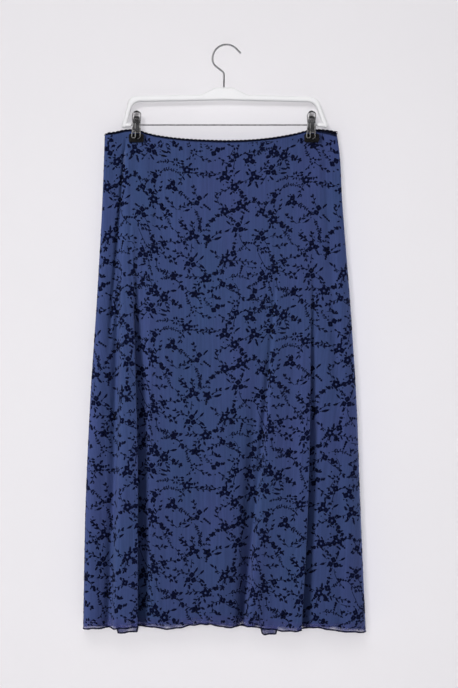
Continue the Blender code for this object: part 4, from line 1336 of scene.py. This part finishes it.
def rounded(corners, steps):
    """A line through corners, each rounded by an arc of its own radius that touches both its sides."""
    points = []
    for index, corner in enumerate(corners):
        here = Vector(corner[:2])
        if corner[2] == 0:
            points.append(tuple(here))
            continue
        back = (Vector(corners[index - 1][:2]) - here).normalized()
        ahead = (Vector(corners[(index + 1) % len(corners)][:2]) - here).normalized()
        half = back.angle(ahead) / 2
        middle = here + (back + ahead).normalized() * (corner[2] / math.sin(half))
        from_middle = here + back * (corner[2] / math.tan(half)) - middle
        to_middle = here + ahead * (corner[2] / math.tan(half)) - middle
        sweep = from_middle.angle_signed(to_middle)
        for step in range(steps + 1):
            spoke = from_middle.copy()
            spoke.rotate(Matrix.Rotation(-sweep * step / steps, 2))
            points.append(tuple(middle + spoke))
    return points


def subdivided(points, longest):
    """The same line with its straight runs divided so that none is longer than `longest`."""
    line = [points[0]]
    for start, end in zip(points, points[1:]):
        steps = math.ceil(math.dist(start, end) / longest)
        line += [tuple(Vector(start).lerp(Vector(end), step / steps)) for step in range(1, steps + 1)]
    return line


def arc(centre, radius, start, end, steps):
    """Points on an arc between two angles, in degrees."""
    turns = np.radians(np.linspace(start, end, steps + 1))
    return [(centre[0] + radius * math.cos(turn), centre[1] + radius * math.sin(turn)) for turn in turns]


def make_arch(look):
    """The white arch with soft edges, the two bosses that take the rod's ends, and the hook's collar."""
    outline = bpy.data.curves.new("hanger_arch_moulding", "CURVE")
    outline.dimensions = "2D"
    outline.fill_mode = "BOTH"
    outline.extrude = ARCH_HALF_DEPTH - ARCH_EDGE
    outline.bevel_depth = ARCH_EDGE
    outline.bevel_resolution = 5
    outline.offset = -ARCH_EDGE
    spline = outline.splines.new("POLY")
    spline.use_cyclic_u = True
    points = rounded(ARCH, 12)
    spline.points.add(len(points) - 1)
    for spot, (x, z) in zip(spline.points, points):
        spot.co = (x, z, 0.0, 1.0)
    outline.materials.append(look)
    arch = new_object("hanger_arch_moulding", outline)
    arch.rotation_euler = (math.radians(90), 0.0, 0.0)
    attach(arch, "white_plastic", "hanger_arch")
    soup = Soup()
    for start, end in BOSSES:
        way, length = math.copysign(1.0, end - start), abs(end - start)
        line = [(start + way * step, 0.0, ROD_Z) for step in (0.0, 0.002, length - BOSS_EDGE, length)]
        add_tube(soup, line, BOSS_RADII, 28)
    bosses = attach(soup.make("hanger_bosses", look), "white_plastic")
    collar = tube("hook_collar", [(NECK_X, 0.0, z) for z in COLLAR_Z], COLLAR_RADII, look, 24)
    return [arch, bosses, attach(collar, "white_plastic")]


def make_hook(look):
    """The wire hook: a crown, a tighter heel, and a neck that runs straight down into the arch."""
    crown = (0.0, WIRE_RADIUS - CROWN_RADIUS)
    heel = arc(crown, CROWN_RADIUS - HEEL_RADIUS, CROWN_TURN[1], CROWN_TURN[1], 0)[0]
    upper = arc(crown, CROWN_RADIUS, *CROWN_TURN, 60)
    lower = arc(heel, HEEL_RADIUS, CROWN_TURN[1], HEEL_END, 18)[1:]
    across = NECK_X - lower[-1][0]
    knee = (NECK_X, lower[-1][1] - across / math.tan(math.radians(HEEL_END - 180.0)))
    neck = rounded([(*lower[-1], 0.0), (*knee, KNEE_RADIUS), (NECK_X, NECK_BOTTOM, 0.0)], 10)[1:]
    flare = [tuple(tip + (first - tip) * share for tip, first in zip(HOOK_TIP, upper[0]))
             for share in TIP_FLARE]
    line = [(x, 0.0, z) for x, z in [*flare, *upper, *lower, *neck]]
    radii = np.full(len(line), WIRE_RADIUS)
    radii[:len(TIP_TAPER)] *= TIP_TAPER
    return attach(tube("hook_wire", line, radii, look, 20), "chrome", "hanger_hook")


# ---- the clips
CLIPS = table("name turn", ("left", 6.0), ("right", 0.0))
SIDES = {-1: "front", 1: "back"}
PAD_TOP = -0.0160
PAD_CORNER = (0.0032, 6)  # a bevel's width and steps
PAD_RIM = (0.0006, 3)
PAD_RIBS = 5
PRONG_RADIUS = 0.0008
PRONG_STEP = 0.0016
PRONG_BEND = 0.0022
PRONG_OVER_PAD = 0.0100
PRONG_LEAVES = -0.0040
HAIRPIN = (
    (-0.0060, 0.0020, 0.0),
    (-0.0092, -0.0235, PRONG_BEND),
    (-0.0026, -0.0235, PRONG_BEND),
    (-0.0026, 0.0020, 0.0),
)
LEG = ((0.0058, 0.0020, 0.0), (0.0058, -0.0225, PRONG_BEND), (0.0015, -0.0255, 0.0))
TABS = table(
    "z y half_width flange",
    (-0.0146, 0.0068, 0.0072, 0.0012),
    (-0.0070, 0.0067, 0.0072, 0.0012),
    (-0.0030, 0.0066, 0.0072, 0.0040),
    (0.0020, 0.0066, 0.0072, 0.0040),
    (0.0080, 0.0074, 0.0075, 0.0022),
    (0.0168, 0.0098, 0.0078, 0.0012),
    (0.0210, 0.0106, 0.0078, 0.0012),
    (0.0243, 0.0096, 0.0078, 0.0012),
)
TAB_GRID = (44, 15)  # rows and columns
TAB_METAL = 0.0008
TAB_ROUND_FROM = 0.0168
TAB_FLAT = 0.80  # the share of its width inside the turned-in edges
TAB_CROWN = 0.0010
TAB_SET_BACK = 0.0004
TAB_TIP = 0.06  # the least share of its width that is left at the top
DISH_Z = 0.0150
DISH_HALF = (0.0042, 0.0038)  # across and up
DISH_DEPTH = 0.0021
RIB_Z = 0.0098
RIB_OUT = 0.0006
RIB = ((-0.0027, 0.0003), (-0.0021, 0.0009), (0.0, 0.0010), (0.0021, 0.0009), (0.0027, 0.0003))  # x, radius
COIL_RADIUS = 0.0026
COIL_HALF_LENGTH = 0.0048
COIL_TURN = 6 * 2 * math.pi
COIL_WIRE = 0.00072
PAD_RIB = ((-0.42, 0.0002), (-0.40, 0.00045), (0.40, 0.00045), (0.42, 0.0002))  # share of the pad, and radius


def turned(clip, points):
    """Points beside a clip's middle, turned with it and carried to its place on the rod."""
    turn = Matrix.Rotation(math.radians(clip.turn), 3, "Z")
    place = Vector((CLIP_X[clip.name], 0.0, ROD_Z))
    return [tuple(turn @ Vector(point) + place) for point in points]


def clip_tab(clip, side, look):
    """A pressed steel tab: round at the top, with turned-in edges, a dished oval for the thumb and a rib."""
    top = TABS[-1].z
    heights = TABS[0].z + (top - TABS[0].z) * np.sin(np.linspace(0.0, math.pi / 2, TAB_GRID[0]))
    points = []
    for z in heights[::-1]:
        stands, half_width, flange = (float(through(TABS, part, z)) for part in ("y", "half_width", "flange"))
        rounded_off = max((z - TAB_ROUND_FROM) / (top - TAB_ROUND_FROM), 0.0)
        half_width *= max(math.sqrt(max(1.0 - rounded_off**2, 0.0)), TAB_TIP)
        for share in np.linspace(-1.0, 1.0, TAB_GRID[1]):
            flat = min(abs(share) / TAB_FLAT, 1.0)
            x = math.copysign(half_width * flat, share)
            down = flange * max((abs(share) - TAB_FLAT) / (1.0 - TAB_FLAT), 0.0)
            dish = DISH_DEPTH * math.exp(-((z - DISH_Z) / DISH_HALF[1]) ** 2 - (x / DISH_HALF[0]) ** 2)
            crown = TAB_CROWN * (1.0 - flat * flat)
            points.append((x, side * (stands - TAB_SET_BACK + crown - dish - down), z))
    where = SIDES[side]
    faces = grid_faces(*TAB_GRID, side > 0)
    tab = mesh_object(f"{clip.name}_tab_{where}", turned(clip, points), faces, None, look)
    thicken(tab, TAB_METAL)
    smooth = tab.modifiers.new("smooth", "SUBSURF")
    smooth.levels = smooth.render_levels = 1
    stands = side * (float(through(TABS, "y", RIB_Z)) + RIB_OUT)
    line = turned(clip, [(x, stands, RIB_Z) for x, _ in RIB])
    rib = tube(f"{clip.name}_tab_{where}_rib", line, [radius for _, radius in RIB], look)
    return [attach(piece, "chrome", f"{clip.name}_clip_tab_{where}") for piece in (tab, rib)]


def clip_prongs(clip, side, look):
    """The spring's wire in front of the jaw: a hairpin, and a single leg that bends under its end."""
    on_tab = TABS[0].y + SEAM_GAP + PRONG_RADIUS
    wires = []
    for kind, corners in (("hairpin", HAIRPIN), ("leg", LEG)):
        line = []
        for x, z in subdivided(rounded(corners, 8), PRONG_STEP):
            sloped = float(ease(-PRONG_LEAVES, -PAD_TOP - PRONG_RADIUS, -z))
            line.append((x, side * (on_tab + (PRONG_OVER_PAD - on_tab) * sloped), z))
        wire = tube(f"{clip.name}_{kind}_{SIDES[side]}", turned(clip, line), PRONG_RADIUS, look, 10)
        wires.append(attach(wire, "chrome", f"{clip.name}_clip_{kind}_{SIDES[side]}"))
    return wires


def clip_pad(clip, side, look):
    """The ribbed rubber jaw, flat against the cloth."""
    node = f"{clip.name}_clip_pad_{SIDES[side]}"
    low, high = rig.box(node)
    middle, size = (low + high) / 2, high - low
    form = bmesh.new()
    bmesh.ops.create_cube(form, size=1.0)
    bmesh.ops.scale(form, vec=size, verts=form.verts)
    for through_pad, (offset, segments) in ((True, PAD_CORNER), (False, PAD_RIM)):
        edges = [edge for edge in form.edges
                 if (abs(edge.verts[0].co.y - edge.verts[1].co.y) > size.y / 2) == through_pad]
        bmesh.ops.bevel(form, geom=edges, offset=offset, segments=segments, profile=0.5, affect="EDGES")
    bmesh.ops.translate(form, vec=middle, verts=form.verts)
    mesh = bpy.data.meshes.new(f"{clip.name}_jaw_{SIDES[side]}")
    form.to_mesh(mesh)
    form.free()
    mesh.shade_smooth()
    mesh.set_sharp_from_angle(angle=math.radians(50))
    mesh.materials.append(look)
    attach(new_object(mesh.name, mesh), "black_rubber", node)
    ribs = Soup()
    face = middle.y + side * (size.y / 2 - 0.0001)
    for index in range(1, PAD_RIBS + 1):
        z = low.z + size.z * index / (PAD_RIBS + 1)
        line = [(middle.x + size.x * share, face, z) for share, _ in PAD_RIB]
        add_tube(ribs, line, [radius for _, radius in PAD_RIB], 8)
    attach(ribs.make(f"{clip.name}_jaw_ribs_{SIDES[side]}", look), "black_rubber")


def clip_spring(clip, look):
    """The spring's six coils round the rod."""
    line = [(COIL_HALF_LENGTH * (2 * share - 1), COIL_RADIUS * math.cos(COIL_TURN * share),
             COIL_RADIUS * math.sin(COIL_TURN * share)) for share in np.linspace(0.0, 1.0, 85)]
    coil = tube(f"{clip.name}_spring_coil", turned(clip, line), COIL_WIRE, look, 8)
    return [attach(coil, "chrome", f"{clip.name}_clip_spring")]


def make_clips(looks):
    """Both clips; it returns their metal pieces."""
    metal = []
    for clip in CLIPS:
        metal += clip_spring(clip, looks["prong"])
        for side in (-1, 1):
            metal += clip_tab(clip, side, looks["steel"])
            metal += clip_prongs(clip, side, looks["prong"])
            clip_pad(clip, side, looks["rubber"])
    return metal


# ---- the stage, the lights and the camera
WALL_Y = 0.040
FLOOR_Z = -1.60
WALL_TOP = 2.4
SOFT_WHITE = (0.99, 0.985, 0.985)
WARM_WHITE = (1.0, 0.99, 0.98)
CAMERA_PLACE = (0.0044, -3.0, -0.522)
SENSOR_WIDTH = 36.0
LENS = 89.7


def plane(name, x, y, z, look):
    """A rectangle of the set between two x, and between two y or two z."""
    corners = [(x[0], y[0], z[0]), (x[1], y[0], z[0]), (x[1], y[1], z[1]), (x[0], y[1], z[1])]
    obj = mesh_object(name, corners, [(0, 1, 2, 3)], None, look)
    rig.stage(obj)
    return obj


def make_stage():
    """A plain wall behind the skirt, and a floor."""
    wall_paint = wall_look("wall_paint", (0.815, 0.800, 0.815), backdrop=True)
    wall = plane("wall", (-4, 4), (WALL_Y, WALL_Y), (FLOOR_Z, WALL_TOP), wall_paint)
    floor = plane("floor", (-6, 6), (-7, 7), (FLOOR_Z, FLOOR_Z), wall_look("floor_paint", (0.78, 0.77, 0.78)))
    return wall, floor


def linked(name, objects, state):
    """A collection that includes or excludes objects, for a light's links."""
    chosen = bpy.data.collections.new(name)
    for each in objects:
        chosen.objects.link(each)
    for each in chosen.collection_objects:
        each.light_linking.link_state = state
    return chosen


def area_light(name, place, aim_z, size, power, colour, only=(), never=(), passes=(), stops_at=(),
               spread=180.0, aim_x=0.0, height=None):
    """A soft box. It may light `only` some objects, or `never` some. It may pass through some of them, or
    through every one but those that it `stops_at`."""
    light = bpy.data.lights.new(name, "AREA")
    light.shape = "RECTANGLE"
    light.size = size
    light.size_y = height or size
    light.energy = power
    light.color = colour
    light.spread = math.radians(spread)
    lamp = new_object(name, light)
    lamp.location = place
    aim = Vector((aim_x, 0.0, aim_z)) - Vector(place)
    lamp.rotation_euler = aim.to_track_quat("-Z", "Y").to_euler()
    if only or never:
        state = "INCLUDE" if only else "EXCLUDE"
        lamp.light_linking.receiver_collection = linked(f"{name}_lights", only or never, state)
    if passes or stops_at:
        state = "INCLUDE" if stops_at else "EXCLUDE"
        lamp.light_linking.blocker_collection = linked(f"{name}_blockers", passes or stops_at, state)


def light_skirt(others, behind, metal, stage):
    """A soft key from the left shows the folds. Weaker boxes fill the middle, the hem and the right edge, and
    the light behind the skirt passes the wall, so that its back can be seen too."""
    area_light("key", (-3.6, -2.9, 0.9), -0.52, 1.5, 292.0, SOFT_WHITE, never=others)
    area_light("fill", (0.8, -4.6, 0.2), -0.55, 2.2, 13.0, (0.97, 0.98, 1.0), never=metal)
    area_light("middle", (0.3, -2.6, -0.40), -0.45, 0.6, 0.10, SOFT_WHITE, never=others, spread=17.0)
    area_light("low_fill", (0.4, -4.0, -1.5), -0.80, 2.0, 9.0, SOFT_WHITE, never=others)
    area_light("bounce", (-0.6, -2.8, -1.55), -1.02, 1.2, 75.0, (0.99, 0.985, 1.0), behind, height=0.5)
    area_light("edge", (3.8, -0.35, -0.3), -0.60, 0.5, 98.0, (0.99, 0.98, 1.0), never=others, aim_x=0.2,
               height=1.4)
    area_light("back_key", (2.4, 3.4, 0.9), -0.5, 1.6, 230.0, WARM_WHITE, never=others, passes=stage)


def light_wall(stage, held, solid):
    """The wall's own light. Only its raking box stops at the arch and the clips, so it casts their shadow."""
    area_light("wall_key", (-0.4, -4.5, -0.45), -0.52, 1.2, 82.0, (0.992, 0.985, 0.995), stage, passes=held)
    area_light("wall_high", (-0.3, -3.5, 1.3), -0.90, 1.6, 1.9, (0.995, 0.985, 0.99), stage, passes=held,
               spread=44.0)
    area_light("wall_rake", (-0.6, -4.4, 0.24), -0.45, 0.4, 50.0, (0.992, 0.985, 1.0), stage, stops_at=solid)


def light_hanger(hanger, metal, stage):
    """Two boxes for the white arch, one for the metal's glints, and one for both from behind."""
    area_light("hanger_key", (-0.5, -4.2, 1.9), -0.10, 1.2, 170.0, (0.99, 0.98, 0.99), hanger)
    area_light("hanger_low", (0.2, -3.4, -1.9), -0.10, 1.2, 76.0, (0.99, 0.98, 0.995), hanger)
    area_light("glint", (-2.4, -3.3, 0.8), -0.10, 1.1, 25.0, WARM_WHITE, metal)
    area_light("back_glint", (1.2, 4.0, 1.4), -0.10, 1.4, 40.0, WARM_WHITE, [*hanger, *metal], passes=stage)


def make_world():
    """Faint even light, and a plain pale ground where the view passes the wall."""
    world = bpy.data.worlds.new("studio")
    look = Nodes(world)
    light = look.tree.nodes["Background"]
    look.fill(light, {"Color": (0.88, 0.88, 0.92), "Strength": 0.10})
    ground = look.node("Background", {"Color": (0.74, 0.73, 0.75)})
    camera_ray = look.node("LightPath", {}).outputs["Is Camera Ray"]
    choose = look.node("MixShader", {0: camera_ray, 1: light.outputs[0], 2: ground.outputs[0]})
    look.fill(look.tree.nodes["World Output"], {"Surface": choose.outputs[0]})
    bpy.context.scene.world = world


def make_camera():
    """Level with the skirt's middle, at the photo's angle."""
    camera = bpy.data.cameras.new("camera")
    camera.sensor_width = SENSOR_WIDTH
    camera.lens = LENS
    eye = new_object("camera", camera)
    eye.location = CAMERA_PLACE
    eye.rotation_euler = (math.radians(90), 0.0, 0.0)
    bpy.context.scene.camera = eye


def main():
    """The whole scene, round the frame."""
    make_camera()
    stage = make_stage()
    bpy.context.scene.view_settings.view_transform = "Standard"
    looks = {
        "cloth": cloth_look(),
        "flock": flock_look(),
        "lining": lining_look(),
        "thread": thread_look("hem_thread", (0.0012, 0.0020, 0.0110), (0.0050, 0.0075, 0.0300)),
        "elastic": thread_look("picot_elastic", (0.0010, 0.0014, 0.0055), (0.0034, 0.0044, 0.0140)),
        "plastic": plastic_look(),
        "chrome": chrome_look("chrome_wire", (0.58, 0.58, 0.59), (0.78, 0.78, 0.79), 0.30, 0.42),
        "steel": chrome_look("pressed_steel", (0.24, 0.23, 0.23), (0.72, 0.72, 0.73), 0.10, 0.22),
        "prong": chrome_look("spring_wire", (0.42, 0.41, 0.41), (0.78, 0.78, 0.79), 0.22, 0.36),
        "rubber": rubber_look(),
    }
    behind = make_skirt(looks)
    hanger = make_arch(looks["plastic"])
    hook = make_hook(looks["chrome"])
    clips = make_clips(looks)
    rod = frame["nodes"]["hanger_rod"]
    for slot in rod.material_slots:
        slot.material = looks["chrome"]
    metal = [*clips, hook, rod]
    light_skirt([*stage, *hanger, *metal], behind, metal, stage)
    light_wall(stage, [*hanger, *metal], [*hanger, *clips])
    light_hanger(hanger, metal, stage)
    make_world()


main()
with open("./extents.json", "w") as sizes:
    json.dump({"cad": CAD_BOX, "visual": [list(corner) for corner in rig.bounds()]}, sizes)
